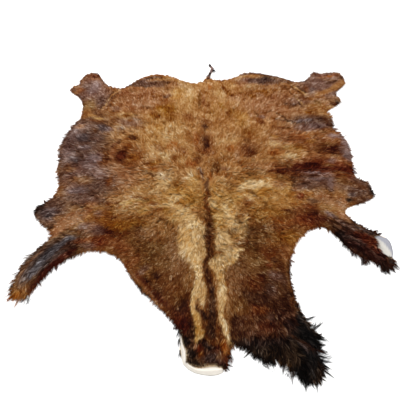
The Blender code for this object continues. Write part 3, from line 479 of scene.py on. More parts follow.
LEG_PATCHES = patches(
    (Shade.UMBER, -700, -440, 70, 40, 20, 0.85), (Shade.LILAC, -660, -330, 34, 24, 20, 0.45),
    # The STEEL patches on the left foreleg are a painted blue-grey sheen.
    (Shade.MAUVE, -580, -360, 34, 30, 0, 0.75), (Shade.STEEL, -700, -405, 24, 12, 0, 0.7),
    (Shade.BRICK, -640, -420, 50, 18, 10, 0.7), (Shade.STEEL, -900, -640, 30, 50, -20, 0.5),
    (Shade.GOLD, -910, -722, 26, 16, 20, 0.95), (Shade.COPPER, -912, -726, 16, 10, 20, 0.8),
    (Shade.JET, -950, -700, 12, 24, 0, 0.9), (Shade.COCOA, 940, -540, 30, 24, -30, 0.8),
    (Shade.UMBER, 700, -330, 60, 30, -40, 0.7), (Shade.CLARET, 780, -430, 100, 50, -40, 0.8),
    (Shade.IVORY, -90, -400, 27, 75, 0, 0.65), (Shade.IVORY, 130, -482, 45, 16, 8, 0.65),
    (Shade.CREAM, 115, -270, 35, 24, 0, 0.45), (Shade.CREAM, 85, -580, 22, 40, 0, 0.5),
    (Shade.HONEY, 60, -390, 20, 40, 0, 0.5), (Shade.HONEY, 160, -400, 22, 18, 0, 0.5),
    (Shade.TAN, 78, -700, 16, 50, 0, 0.5), (Shade.TAN, 85, -880, 16, 50, 0, 0.55),
    (Shade.CHESTNUT, 210, -660, 50, 50, 0, 0.55), (Shade.COCOA, 380, -600, 26, 60, 0, 0.5),
    (Shade.UMBER, -250, -700, 70, 30, -45, 0.5), (Shade.EBONY, 0, -970, 30, 24, 0, 0.7),
    (Shade.FAWN, 52, -1018, 18, 14, 0, 0.6), (Shade.BRONZE, 280, -400, 60, 80, -10, 0.6),
    (Shade.GOLD, 450, -400, 50, 45, 0, 0.6), (Shade.AMBER, 360, -430, 50, 45, 0, 0.5),
    (Shade.GOLD, 360, -240, 90, 30, -20, 0.45), (Shade.GOLD, -260, 620, 85, 45, 0, 0.75),
    (Shade.AMBER, -240, 640, 40, 26, 0, 0.7), (Shade.AMBER, -530, 555, 28, 18, 0, 0.8),
    (Shade.AMBER, -430, 165, 50, 40, 0, 0.65), (Shade.OXBLOOD, -510, 180, 36, 36, 0, 0.6),
    (Shade.DUSK, -390, 915, 100, 30, 0, 0.75), (Shade.DUSK, 400, 935, 120, 32, 0, 0.75),
    (Shade.AMBER, 700, 735, 45, 22, 0, 0.6), (Shade.AMBER, 170, 600, 26, 30, 0, 0.6),
    (Shade.GOLD, 60, 570, 40, 40, 0, 0.5), (Shade.PALE_ROSE, 955, 900, 40, 40, 0, 0.75),
    (Shade.PALE_ROSE, 800, 800, 50, 36, 0, 0.7), (Shade.WALNUT, 880, 720, 34, 20, 0, 0.7),
    (Shade.LILAC, 820, 360, 44, 26, 0, 0.75), (Shade.LILAC, 870, 200, 26, 50, 0, 0.85),
    (Shade.CHESTNUT, 800, 30, 50, 30, 0, 0.8), (Shade.MAUVE, -610, -450, 40, 20, 0, 0.8),
    (Shade.OXBLOOD, 860, -460, 50, 40, -40, 0.6), (Shade.JET, 710, -385, 30, 30, -40, 0.6),
    (Shade.LILAC, 680, -255, 36, 12, -40, 0.75), (Shade.DUSK, 740, -318, 60, 16, -40, 0.8),
    (Shade.ROSE_TAN, 750, -262, 45, 24, -48, 0.95), (Shade.UMBER, 800, -300, 30, 12, -40, 0.8),
    (Shade.PALE_ROSE, 660, -150, 60, 24, -30, 0.85),
)

STREAKS = lines(
    Streak,
    (Shade.BEIGE, 6, 0.7, ((-600, 830), (-655, 760), (-670, 690), (-690, 610))),
    (Shade.COCOA, 6, 0.75, ((-615, 840), (-675, 760), (-690, 690), (-705, 620))),
    (Shade.AMBER, 8, 0.7, ((-620, 730), (-640, 690))),
    (Shade.GOLD, 7, 0.6, ((-280, 420), (-265, 380), (-245, 340), (-250, 310))),
    (Shade.AMBER, 6, 0.6, ((-310, 115), (-270, 145))),
    (Shade.BEIGE, 5, 0.75, ((465, 600), (490, 575), (515, 550))),
    (Shade.CHESTNUT, 4, 0.7, ((480, 340), (520, 315))),
    (Shade.WALNUT, 4, 0.7, ((205, 375), (225, 355), (245, 350))),
    (Shade.COPPER, 5, 0.7, ((290, 0), (330, 12), (370, 22))),
    (Shade.COCOA, 4, 0.7, ((660, -35), (690, -60), (715, -90))),
    (Shade.COCOA, 4, 0.7, ((685, -30), (710, -55), (735, -80))),
    (Shade.CREAM, 12, 0.6, ((180, -80), (260, -160), (300, -200))),
    (Shade.ROSE_TAN, 4, 0.9, ((-440, -510), (-365, -620), (-280, -710), (-190, -810))),
    (Shade.EBONY, 10, 0.85, ((-460, -520), (-385, -635), (-295, -725), (-190, -830))),
    (Shade.CHESTNUT, 12, 0.7, ((-400, -540), (-340, -625), (-270, -695))),
    (Shade.FAWN, 2, 0.45, ((310, -810), (330, -860), (350, -910))),
)

BANDS = lines(
    Band,
    (Shade.DUSK, 14, 0.8, ((-500, 885, 14), (-440, 900, 27), (-380, 900, 24))),
    (Shade.COCOA, 12, 0.85, ((-420, 900, 14), (-370, 905, 22), (-300, 915, 22), (-255, 915, 11))),
    (Shade.UMBER, 6, 0.8, ((-385, 910, 4), (-365, 906, 8), (-345, 900, 4))),
    (Shade.AMBER, 6, 0.85, ((-400, 765, 3), (-365, 778, 8), (-330, 775, 7), (-310, 755, 5))),
    (Shade.AMBER, 8, 0.9, ((125, 910, 4), (130, 870, 8), (145, 820, 14), (165, 790, 19), (180, 770, 11))),
    (Shade.RUSSET, 6, 0.8, ((180, 770, 5), (220, 775, 8), (270, 785, 11), (310, 790, 8))),
    (Shade.AMBER, 10, 0.85, (
        (330, 825, 5), (380, 830, 16), (430, 830, 14), (500, 835, 11), (560, 815, 5),
    )),
    (Shade.BEIGE, 6, 0.85, ((605, 900, 5), (640, 870, 9), (670, 830, 11), (700, 785, 8))),
    (Shade.COCOA, 6, 0.85, ((660, 885, 5), (680, 850, 11), (705, 805, 8))),
    (Shade.AMBER, 6, 0.85, ((610, 875, 5), (635, 845, 8), (665, 805, 14), (680, 770, 8))),
    (Shade.BEIGE, 5, 0.75, ((620, 760, 4), (645, 720, 5), (665, 690, 7), (670, 665, 4))),
    (Shade.UMBER, 5, 0.8, ((640, 690, 4), (650, 675, 8), (656, 665, 4))),
    (Shade.WALNUT, 5, 0.75, ((325, 595, 5), (335, 575, 7), (350, 555, 7))),
    (Shade.UMBER, 5, 0.92, (
        (475, 590, 3), (505, 555, 5), (530, 525, 7), (555, 503, 12), (580, 493, 11), (605, 480, 5),
    )),
    (Shade.COCOA, 8, 0.8, ((950, 945, 11), (920, 935, 14), (870, 915, 14))),
    (Shade.TAN, 14, 0.85, ((960, 900, 22), (900, 855, 22), (840, 815, 19), (780, 780, 14))),
    (Shade.OXBLOOD, 6, 0.85, ((-530, 330, 8), (-555, 290, 12), (-580, 255, 7))),
    (Shade.COCOA, 5, 0.8, ((-385, 72, 4), (-350, 45, 5), (-315, 32, 8), (-280, 28, 4), (-250, 40, 3))),
    (Shade.DUSK, 8, 0.85, ((-30, 85, 5), (-20, 50, 11), (-18, 20, 5), (-16, -10, 4))),
    (Shade.COCOA, 6, 0.9, ((12, 10, 5), (6, -30, 11), (4, -70, 14), (10, -100, 8))),
    (Shade.OXBLOOD, 14, 0.93, (
        (390, 62, 11), (440, 55, 22), (500, 70, 19), (550, 90, 38), (620, 98, 43), (680, 92, 30),
        (730, 82, 16), (790, 80, 27), (840, 85, 38), (870, 85, 32),
    )),
    (Shade.UMBER, 6, 0.7, ((400, 60, 4), (500, 67, 7), (600, 70, 8), (700, 73, 4))),
    (Shade.UMBER, 6, 0.7, ((790, 48, 4), (830, 45, 7), (860, 45, 4))),
    (Shade.OAT, 10, 0.92, ((205, -55, 22), (250, -45, 38), (300, -45, 35), (345, -45, 22))),
    (Shade.COCOA, 6, 0.75, ((-645, -120, 5), (-610, -135, 8), (-575, -150, 5))),
    (Shade.STRAW, 8, 0.8, ((-460, -210, 7), (-435, -185, 8), (-410, -160, 7))),
    (Shade.CHESTNUT, 6, 0.85, ((-520, -190, 7), (-540, -210, 8), (-555, -225, 5))),
    (Shade.ROSE_TAN, 18, 0.93, ((-800, -370, 27), (-760, -310, 43), (-700, -260, 43), (-640, -225, 22))),
    (Shade.PALE_ROSE, 14, 0.7, ((-790, -355, 11), (-760, -310, 24), (-700, -262, 24), (-655, -232, 11))),
    (Shade.UMBER, 5, 0.8, ((-790, -370, 4), (-750, -385, 8), (-710, -390, 4))),
    (Shade.UMBER, 5, 0.8, ((-730, -365, 4), (-710, -360, 7), (-690, -355, 4))),
    (Shade.OXBLOOD, 16, 0.85, ((-680, -470, 12), (-750, -530, 18), (-810, -610, 18), (-860, -700, 14))),
    # This STEEL band along the left foreleg's middle is a painted blue-grey sheen on its dark hair.
    (Shade.STEEL, 20, 0.8, ((-720, -405, 12), (-790, -480, 18), (-850, -580, 18), (-875, -640, 12))),
    (Shade.WALNUT, 12, 0.55, ((-830, -460, 6), (-900, -560, 8), (-930, -660, 8))),
    (Shade.OXBLOOD, 20, 0.8, ((780, -370, 10), (830, -405, 24), (880, -450, 26))),
    (Shade.SOOT, 10, 0.8, ((790, -325, 6), (850, -360, 10), (900, -395, 8))),
    (Shade.EBONY, 14, 0.7, ((690, -370, 10), (750, -405, 14), (820, -450, 10))),
    (Shade.UMBER, 14, 0.7, ((720, -440, 8), (780, -500, 14), (850, -550, 16))),
    (Shade.DUSK, 16, 0.8, (
        (140, 965, 12), (260, 1015, 16), (360, 1035, 16), (500, 995, 16), (620, 945, 16), (730, 945, 14),
    )),
    (Shade.DUSK, 14, 0.75, ((-600, 860, 12), (-520, 900, 16), (-420, 965, 16), (-320, 985, 12))),
    (Shade.CHESTNUT, 14, 0.8, ((360, 60, 8), (450, 45, 16), (540, 30, 12))),
    (Shade.AMBER, 12, 0.7, ((120, 870, 6), (190, 785, 8), (300, 805, 12), (420, 820, 14), (500, 800, 6))),
    (Shade.EBONY, 4, 0.85, ((470, 535, 3), (530, 500, 5), (600, 482, 5), (700, 474, 3))),
    (Shade.SOOT, 6, 0.75, ((340, 960, 4), (420, 955, 8), (500, 945, 4))),
    (Shade.UMBER, 6, 0.75, ((-590, 830, 3), (-650, 730, 5), (-720, 630, 3))),
    (Shade.UMBER, 5, 0.7, ((-620, 840, 2), (-680, 750, 4), (-740, 670, 2))),
    (Shade.UMBER, 6, 0.75, ((600, 900, 3), (650, 820, 5), (700, 740, 3))),
    (Shade.UMBER, 5, 0.7, ((560, 880, 2), (610, 790, 4), (640, 700, 2))),
    (Shade.JET, 12, 0.95, ((180, -1000, 10), (290, -1050, 16), (380, -1080, 20))),
    # These two thin streaks on the right foreleg are painted glints of light on its dark hair.
    (Shade.DUSK, 6, 0.8, ((750, -390, 2), (775, -412, 3), (800, -440, 2))),
    (Shade.DUSK, 6, 0.8, ((830, -470, 2), (860, -510, 3), (900, -560, 2))),
    (Shade.STRAW, 12, 0.75, (
        (-480, -180, 6), (-430, -168, 8), (-380, -160, 8), (-340, -176, 7), (-300, -158, 9),
        (-250, -170, 10), (-200, -180, 12),
    )),
    (Shade.JET, 30, 0.95, (
        (140, -975, 28), (220, -990, 50), (300, -990, 55), (360, -990, 60), (420, -970, 80),
        (440, -1060, 90),
    )),
    (Shade.JET, 24, 0.97, ((420, -800, 4), (430, -860, 30), (470, -960, 80))),
    (Shade.EBONY, 20, 0.9, ((100, -945, 10), (200, -950, 14), (340, -950, 16))),
    (Shade.SOOT, 12, 0.6, ((405, -965, 6), (425, -985, 10), (435, -1005, 6))),
    (Shade.JET, 20, 0.9, ((450, -1020, 30), (430, -1070, 40), (400, -1110, 30))),
    (Shade.COCOA, 10, 0.5, ((370, -930, 4), (410, -960, 6), (470, -985, 4))),
    (Shade.OAT, 34, 0.8, (
        (-150, -225, 20), (-115, -270, 40), (-90, -330, 62), (-100, -420, 48), (-95, -490, 44),
        (-70, -540, 26), (-52, -580, 20),
    )),
    (Shade.OAT, 16, 0.9, ((-30, -360, 18), (-30, -430, 28), (-34, -500, 32), (-36, -545, 18))),
    (Shade.CREAM, 16, 0.95, (
        (-260, -205, 8), (-200, -190, 12), (-150, -212, 14), (-110, -240, 24), (-85, -280, 30),
        (-52, -330, 26), (-10, -345, 12),
    )),
    (Shade.CREAM, 16, 0.92, (
        (-60, -340, 26), (-92, -375, 44), (-98, -420, 44), (-92, -460, 34), (-68, -500, 22),
        (-56, -545, 20), (-46, -580, 17),
    )),
    (Shade.CREAM, 8, 0.92, (
        (-46, -580, 17), (-40, -610, 17), (-44, -650, 14), (-48, -690, 18), (-54, -730, 18),
        (-66, -760, 14), (-66, -800, 13), (-54, -830, 14),
    )),
    (Shade.OAT, 10, 0.85, ((-16, -650, 6), (-18, -690, 18), (-22, -740, 18), (-20, -770, 10))),
    (Shade.STRAW, 9, 0.9, (
        (-52, -825, 14), (-47, -860, 13), (-40, -890, 15), (-34, -920, 20), (-46, -940, 10),
        (-50, -955, 6),
    )),
    (Shade.ROSE_TAN, 5, 0.9, ((-50, -955, 4), (-58, -975, 7), (-60, -984, 4))),
    (Shade.CREAM, 14, 0.9, ((85, -185, 10), (112, -225, 14), (138, -270, 20), (145, -320, 16))),
    (Shade.CREAM, 20, 0.75, ((112, -270, 14), (118, -320, 22), (110, -350, 12))),
    (Shade.CREAM, 10, 0.85, ((100, -372, 14), (112, -405, 14), (126, -445, 12))),
    (Shade.OAT, 14, 0.92, ((72, -370, 26), (80, -420, 34), (82, -470, 34))),
    (Shade.CREAM, 8, 0.97, (
        (190, -470, 2), (155, -482, 16), (128, -508, 30), (112, -532, 38), (84, -553, 28),
    )),
    (Shade.OAT, 10, 0.93, ((100, -530, 30), (55, -540, 28), (34, -555, 24), (48, -580, 26))),
    (Shade.OAT, 9, 0.94, (
        (48, -575, 26), (62, -610, 22), (72, -655, 19), (73, -700, 21), (70, -750, 18), (66, -800, 13),
        (60, -838, 11), (76, -875, 12), (88, -920, 12), (94, -955, 8),
    )),
    (Shade.CREAM, 10, 0.6, ((50, -590, 10), (70, -660, 8), (78, -740, 10))),
    (Shade.AMBER, 6, 0.92, ((52, -497, 5), (70, -500, 8), (88, -494, 4))),
    (Shade.RUSSET, 20, 0.8, ((8, -100, 10), (4, -160, 14), (8, -220, 14))),
    (Shade.WALNUT, 12, 0.9, ((12, -215, 7), (12, -250, 10), (14, -290, 20))),
    (Shade.WALNUT, 12, 0.92, (
        (14, -275, 18), (18, -330, 24), (18, -370, 20), (10, -400, 27), (16, -440, 21), (22, -480, 21),
        (20, -510, 20), (0, -540, 13), (-8, -570, 14), (0, -600, 18), (10, -640, 20), (18, -690, 22),
        (20, -740, 26), (20, -790, 30), (5, -830, 40), (18, -880, 38), (30, -930, 42),
    )),
    (Shade.UMBER, 14, 0.6, (
        (16, -320, 6), (6, -400, 14), (14, -440, 10), (18, -490, 6), (-6, -560, 8), (0, -610, 12),
        (10, -650, 12), (24, -700, 18),
    )),
    (Shade.EBONY, 14, 0.7, (
        (26, -690, 10), (24, -740, 14), (22, -800, 18), (20, -860, 18), (16, -920, 22),
    )),
    (Shade.UMBER, 10, 0.9, ((-45, -795, 8), (-24, -815, 14), (-8, -840, 14))),
    (Shade.JET, 10, 0.7, ((-18, -825, 6), (-12, -845, 8))),
)


@dataclass(frozen=True)
class Comb:
    """The way the hair lies at one place.

    Attributes:
        x: The place, to the right of the spine.
        y: The place, towards the tail.
        angle: The hair's direction in degrees, from +X towards +Y.
    """

    x: float
    y: float
    angle: float


COMBING = (
    Comb(0.0, 0.95, 90), Comb(-0.15, 0.7, 97), Comb(0.15, 0.7, 83), Comb(-0.4, 0.9, 118),
    Comb(0.4, 0.92, 64), Comb(-0.5, 0.6, 142), Comb(0.5, 0.6, 38), Comb(-0.8, 0.95, 108),
    Comb(-0.92, 0.87, 170), Comb(-0.75, 0.65, 150), Comb(0.9, 0.97, 40), Comb(0.9, 0.74, -5),
    Comb(0.74, 0.72, 35), Comb(-0.82, 0.3, 178), Comb(0.8, 0.3, 4), Comb(-0.55, 0.25, 170),
    Comb(0.55, 0.25, 12), Comb(-0.25, 0.35, 120), Comb(0.22, 0.35, 62), Comb(0.0, 0.2, 92),
    Comb(-0.8, 0.0, 185), Comb(0.82, 0.02, -2), Comb(-0.92, -0.21, 192), Comb(0.93, -0.08, -8),
    Comb(-0.65, -0.22, 205), Comb(0.62, -0.12, -30), Comb(-0.7, -0.42, 215), Comb(-0.82, -0.5, 228),
    Comb(-0.91, -0.66, 262), Comb(0.7, -0.3, -38), Comb(0.84, -0.46, -44), Comb(0.85, -0.35, -38),
    Comb(0.92, -0.57, -55), Comb(-0.45, -0.3, 222), Comb(0.45, -0.25, -42), Comb(-0.2, -0.1, 200),
    Comb(0.25, -0.08, -20), Comb(-0.1, -0.35, 250), Comb(0.12, -0.33, -60), Comb(-0.32, -0.55, 232),
    Comb(-0.16, -0.75, 238), Comb(0.33, -0.55, -48), Comb(0.28, -0.8, -76), Comb(0.42, -0.72, -50),
    Comb(0.46, -0.92, -40), Comb(0.47, -1.06, -72), Comb(0.25, -0.98, -88), Comb(0.0, -0.7, 268),
    Comb(-0.05, -0.85, 264), Comb(0.08, -0.85, -82), Comb(0.0, -1.02, 270), Comb(-0.11, -0.98, 215),
)


@dataclass(frozen=True)
class Lay:
    """How long and how woolly the hair is around one place.

    Attributes:
        x: The place, to the right of the spine.
        y: The place, towards the tail.
        reach: How far its word counts.
        length: The hair's length in millimetres.
        lift: How far the tips stand over the coat's mean height, in millimetres.
        curl: How far a lock turns from root to tip, in degrees.
        mess: How far a lock strays from the combing, in degrees.
        pull: How closely the hairs of a lock meet at its tip, 0 to 1.
    """

    x: float
    y: float
    reach: float
    length: float
    lift: float
    curl: float
    mess: float
    pull: float


LAYS = (
    Lay(0.0, 0.85, 0.35, 26, 3, 30, 18, 0.3), Lay(-0.45, 0.75, 0.3, 26, 4, 40, 24, 0.35),
    Lay(0.45, 0.75, 0.3, 27, 4, 40, 24, 0.35), Lay(-0.82, 0.88, 0.22, 19, 3, 20, 16, 0.3),
    Lay(0.88, 0.9, 0.22, 19, 3, 20, 16, 0.3), Lay(-0.78, 0.25, 0.24, 46, 5, 40, 20, 0.45),
    Lay(0.78, 0.25, 0.24, 44, 5, 40, 20, 0.45), Lay(0.0, 0.25, 0.4, 34, 5, 60, 34, 0.35),
    Lay(-0.2, -0.05, 0.25, 40, 6, 60, 36, 0.35), Lay(0.25, -0.1, 0.25, 38, 6, 70, 40, 0.35),
    Lay(0.12, -0.3, 0.14, 40, 7, 90, 50, 0.45), Lay(-0.08, -0.4, 0.1, 52, 6, 25, 10, 0.3),
    Lay(0.0, -0.72, 0.16, 36, 4, 20, 8, 0.3), Lay(-0.45, -0.28, 0.18, 30, 4, 45, 26, 0.3),
    Lay(0.42, -0.28, 0.16, 32, 4, 50, 28, 0.35), Lay(-0.28, -0.62, 0.2, 22, 3, 20, 14, 0.2),
    Lay(-0.25, -0.8, 0.06, 36, 4, 20, 14, 0.5), Lay(0.28, -0.66, 0.2, 23, 3, 25, 16, 0.22),
    Lay(0.45, -1.0, 0.14, 66, 10, 45, 24, 0.8), Lay(0.25, -0.98, 0.1, 46, 6, 35, 20, 0.7),
    Lay(-0.86, -0.58, 0.16, 44, 5, 25, 14, 0.75), Lay(0.8, -0.42, 0.15, 46, 5, 30, 16, 0.8),
    Lay(0.84, -0.34, 0.05, 12, 3, 15, 8, 0.6), Lay(0.8, -0.25, 0.05, 10, 1, 15, 10, 0.4),
    Lay(-0.88, -0.2, 0.12, 34, 4, 30, 18, 0.65), Lay(0.88, -0.08, 0.12, 20, 2, 20, 14, 0.45),
    Lay(0.72, -0.12, 0.09, 13, 1, 20, 20, 0.4), Lay(-0.75, -0.26, 0.09, 13, 1, 20, 20, 0.4),
    Lay(0.0, -0.98, 0.1, 30, 5, 30, 14, 0.6),
)


@dataclass(frozen=True)
class SkinStation:
    """One place along a bare edge of skin.

    Attributes:
        coat_x: Where the hair ends, to the right of the spine.
        coat_y: Where the hair ends, towards the tail.
        lip_x: Where the skin ends, to the right of the spine.
        lip_y: Where the skin ends, towards the tail.
        ridge: Where it is highest, from 0 at the hair to 1 at the lip.
        rise: How high it is there, in millimetres.
    """

    coat_x: float
    coat_y: float
    lip_x: float
    lip_y: float
    ridge: float
    rise: float


NECK_EDGE = (
    SkinStation(-0.119, -0.905, -0.124, -0.905, 0.5, 5),
    SkinStation(-0.115, -0.93, -0.127, -0.932, 0.5, 7),
    SkinStation(-0.108, -0.96, -0.125, -0.965, 0.5, 9),
    SkinStation(-0.092, -0.99, -0.119, -0.995, 0.4, 10),
    SkinStation(-0.092, -1.015, -0.115, -1.02, 0.3, 9),
    SkinStation(-0.094, -1.036, -0.111, -1.046, 0.3, 9),
    SkinStation(-0.074, -1.05, -0.09, -1.066, 0.4, 9),
    SkinStation(-0.048, -1.062, -0.058, -1.084, 0.5, 8),
    SkinStation(-0.02, -1.06, -0.026, -1.091, 0.5, 8), SkinStation(0.01, -1.053, 0.012, -1.096, 0.5, 10),
    SkinStation(0.034, -1.051, 0.044, -1.092, 0.5, 10), SkinStation(0.052, -1.057, 0.064, -1.084, 0.5, 8),
    SkinStation(0.062, -1.062, 0.07, -1.07, 0.5, 5),
)
FORELEG_EDGE = (
    SkinStation(0.888, -0.391, 0.908, -0.371, 0.2, 6), SkinStation(0.889, -0.405, 0.936, -0.382, 0.2, 13),
    SkinStation(0.891, -0.425, 0.959, -0.393, 0.3, 16),
    SkinStation(0.89, -0.445, 0.971, -0.416, 0.45, 17), SkinStation(0.886, -0.47, 0.971, -0.452, 0.6, 16),
    SkinStation(0.889, -0.492, 0.967, -0.488, 0.8, 14), SkinStation(0.902, -0.508, 0.952, -0.52, 0.9, 9),
)


@dataclass(frozen=True)
class TailStation:
    """One place along the dried tail.

    Attributes:
        x: Its middle, to the right of the spine.
        y: Its middle, away from the neck.
        radius: Half its width.
        shade: Its colour.
    """

    x: float
    y: float
    radius: float
    shade: Shade


DRIED_TAIL = (
    TailStation(0.026, 0.968, 0.012, Shade.WALNUT), TailStation(0.03, 0.99, 0.0095, Shade.MAUVE),
    TailStation(0.033, 1.015, 0.0085, Shade.SOOT), TailStation(0.037, 1.032, 0.008, Shade.EBONY),
    TailStation(0.043, 1.056, 0.0075, Shade.LILAC), TailStation(0.051, 1.075, 0.01, Shade.DUSK),
    TailStation(0.057, 1.092, 0.0095, Shade.LILAC), TailStation(0.055, 1.11, 0.008, Shade.MAUVE),
    TailStation(0.05, 1.127, 0.0065, Shade.SLATE), TailStation(0.042, 1.142, 0.005, Shade.SOOT),
    TailStation(0.034, 1.15, 0.003, Shade.SOOT),
)


@dataclass(frozen=True)
class Tuft:
    """A few long hairs that stand out from one place.

    Attributes:
        shade: Their colour.
        x: Their root, to the right of the spine.
        y: Their root, towards the tail.
        spread: How far apart their roots stand.
        angle: Their mean direction in degrees, from +X towards +Y.
        fan: How far their directions stray, in degrees.
        length: Their mean length in millimetres.
        count: How many there are.
    """

    shade: Shade
    x: float
    y: float
    spread: float
    angle: float
    fan: float
    length: float
    count: int


TUFTS = (
    Tuft(Shade.EBONY, 0.055, 1.073, 0.006, 8, 14, 30, 60),
    Tuft(Shade.SOOT, 0.058, 1.095, 0.006, 30, 20, 18, 40),
    Tuft(Shade.SOOT, 0.046, 1.135, 0.006, 150, 18, 22, 50),
    Tuft(Shade.EBONY, 0.026, 1.005, 0.008, 170, 30, 14, 50),
    Tuft(Shade.EBONY, 0.036, 1.03, 0.006, 90, 60, 12, 60),
    Tuft(Shade.EBONY, 0.415, -0.8, 0.01, 55, 12, 40, 50),
    Tuft(Shade.JET, 0.48, -0.88, 0.025, 60, 20, 42, 16),
    Tuft(Shade.JET, 0.5, -1.02, 0.04, 20, 30, 38, 34),
    Tuft(Shade.JET, 0.43, -1.115, 0.015, -130, 20, 30, 40),
    Tuft(Shade.JET, 0.26, -1.03, 0.025, -70, 25, 30, 60),
    Tuft(Shade.JET, 0.36, -1.065, 0.025, -100, 25, 26, 60),
    # These three black tufts draw the dark line beside the neck's turned lip: hair, with painted shade
    # under the lip.
    Tuft(Shade.JET, -0.126, -0.89, 0.004, 262, 5, 60, 14),
    Tuft(Shade.JET, -0.128, -0.935, 0.003, 268, 4, 50, 12),
    Tuft(Shade.JET, -0.122, -0.985, 0.003, 274, 5, 46, 12),
    Tuft(Shade.EBONY, 0.085, -1.01, 0.01, -40, 10, 42, 30),
    Tuft(Shade.SOOT, 0.925, -0.55, 0.012, 35, 25, 38, 60),
    Tuft(Shade.EBONY, 0.89, -0.57, 0.015, -62, 14, 40, 90),
    Tuft(Shade.SOOT, 0.8, -0.53, 0.015, -80, 20, 36, 40),
    Tuft(Shade.JET, -0.945, -0.69, 0.01, 150, 16, 26, 40),
    Tuft(Shade.EBONY, -0.87, -0.74, 0.02, 262, 14, 24, 40),
    Tuft(Shade.SOOT, -0.93, -0.2, 0.015, 130, 20, 26, 50),
)
BARE_PLACES = (
    ((-0.121, -0.90), (-0.110, -0.955), (-0.088, -0.992), (-0.094, -1.038), (-0.048, -1.060),
     (0.010, -1.050), (0.036, -1.049), (0.064, -1.060), (0.11, -1.16), (-0.16, -1.16), (-0.16, -0.90)),
    ((0.884, -0.385), (0.891, -0.440), (0.885, -0.475), (0.893, -0.498), (0.915, -0.510),
     (0.945, -0.525), (1.02, -0.48), (0.98, -0.36)),
    ((-0.02, 0.985), (0.075, 0.985), (0.15, 1.2), (-0.05, 1.2)),
)


def within(places: Array, ring: Sequence[tuple[float, float]]) -> Array:
    """Says which places lie inside a closed ring.

    Args:
        places: Places, in an array of shape (n, 2).
        ring: The ring's corners.

    Returns:
        True for each place inside.
    """
    inner = np.zeros(len(places), bool)
    for (ax, ay), (bx, by) in zip(ring, (*ring[1:], ring[0])):
        if ay != by:
            across = (places[:, 1] < ay) != (places[:, 1] < by)
            inner ^= across & (places[:, 0] < ax + (places[:, 1] - ay) * (bx - ax) / (by - ay))
    return inner


def hashed(cells: Array, salt: int) -> Array:
    """Gives each whole-numbered cell its own number from 0 to 1, the same on every run.

    Args:
        cells: Pairs of whole numbers, in an array of shape (n, 2).
        salt: A number that picks one of many such lists.

    Returns:
        One number for each pair.
    """
    x, y = cells[..., 0].astype(np.uint64), cells[..., 1].astype(np.uint64)
    low = np.uint64(0xFFFFFFFF)
    mixed = (x * np.uint64(374761393) + y * np.uint64(668265263) + np.uint64(salt * 2246822519)) & low
    mixed = ((mixed ^ (mixed >> np.uint64(13))) * np.uint64(1274126177)) & low
    mixed = ((mixed ^ (mixed >> np.uint64(15))) * np.uint64(2246822519)) & low
    return ((mixed ^ (mixed >> np.uint64(16))) & low).astype(float) / 0xFFFFFFFF


def cloud(points: Array, wave: float, salt: int, octaves: int = 1) -> Array:
    """Smooth noise from -1 to 1 in plan.

    Args:
        points: Places, in an array of shape (n, 2).
        wave: The size of its largest blots.
        salt: Picks one of many noises.
        octaves: How many finer noises are added to it.

    Returns:
        The noise at each place.
    """
    total, weight, share = np.zeros(len(points)), 0.0, 1.0
    for octave in range(octaves):
        place = points / wave * 2**octave + 1000.0
        cell = np.floor(place)
        part = place - cell
        part = part * part * (3 - 2 * part)
        corner = [
            hashed(cell + np.array([i, j]), salt + 17 * octave) for j in (0, 1) for i in (0, 1)
        ]
        near = corner[0] + (corner[1] - corner[0]) * part[:, 0]
        far = corner[2] + (corner[3] - corner[2]) * part[:, 0]
        total += share * (2 * (near + (far - near) * part[:, 1]) - 1)
        weight += share
        share *= 0.55
    return total / weight


def as_hair(seen: Array) -> Array:
    """The colour of one hair, for a coat that looks this colour as a whole."""
    return (HAIR_GAIN * seen) ** HAIR_POWER


def eased(share: Array) -> Array:
    """Clips to 0 to 1 and eases both ends."""
    share = np.clip(share, 0.0, 1.0)
    return share * share * (3 - 2 * share)


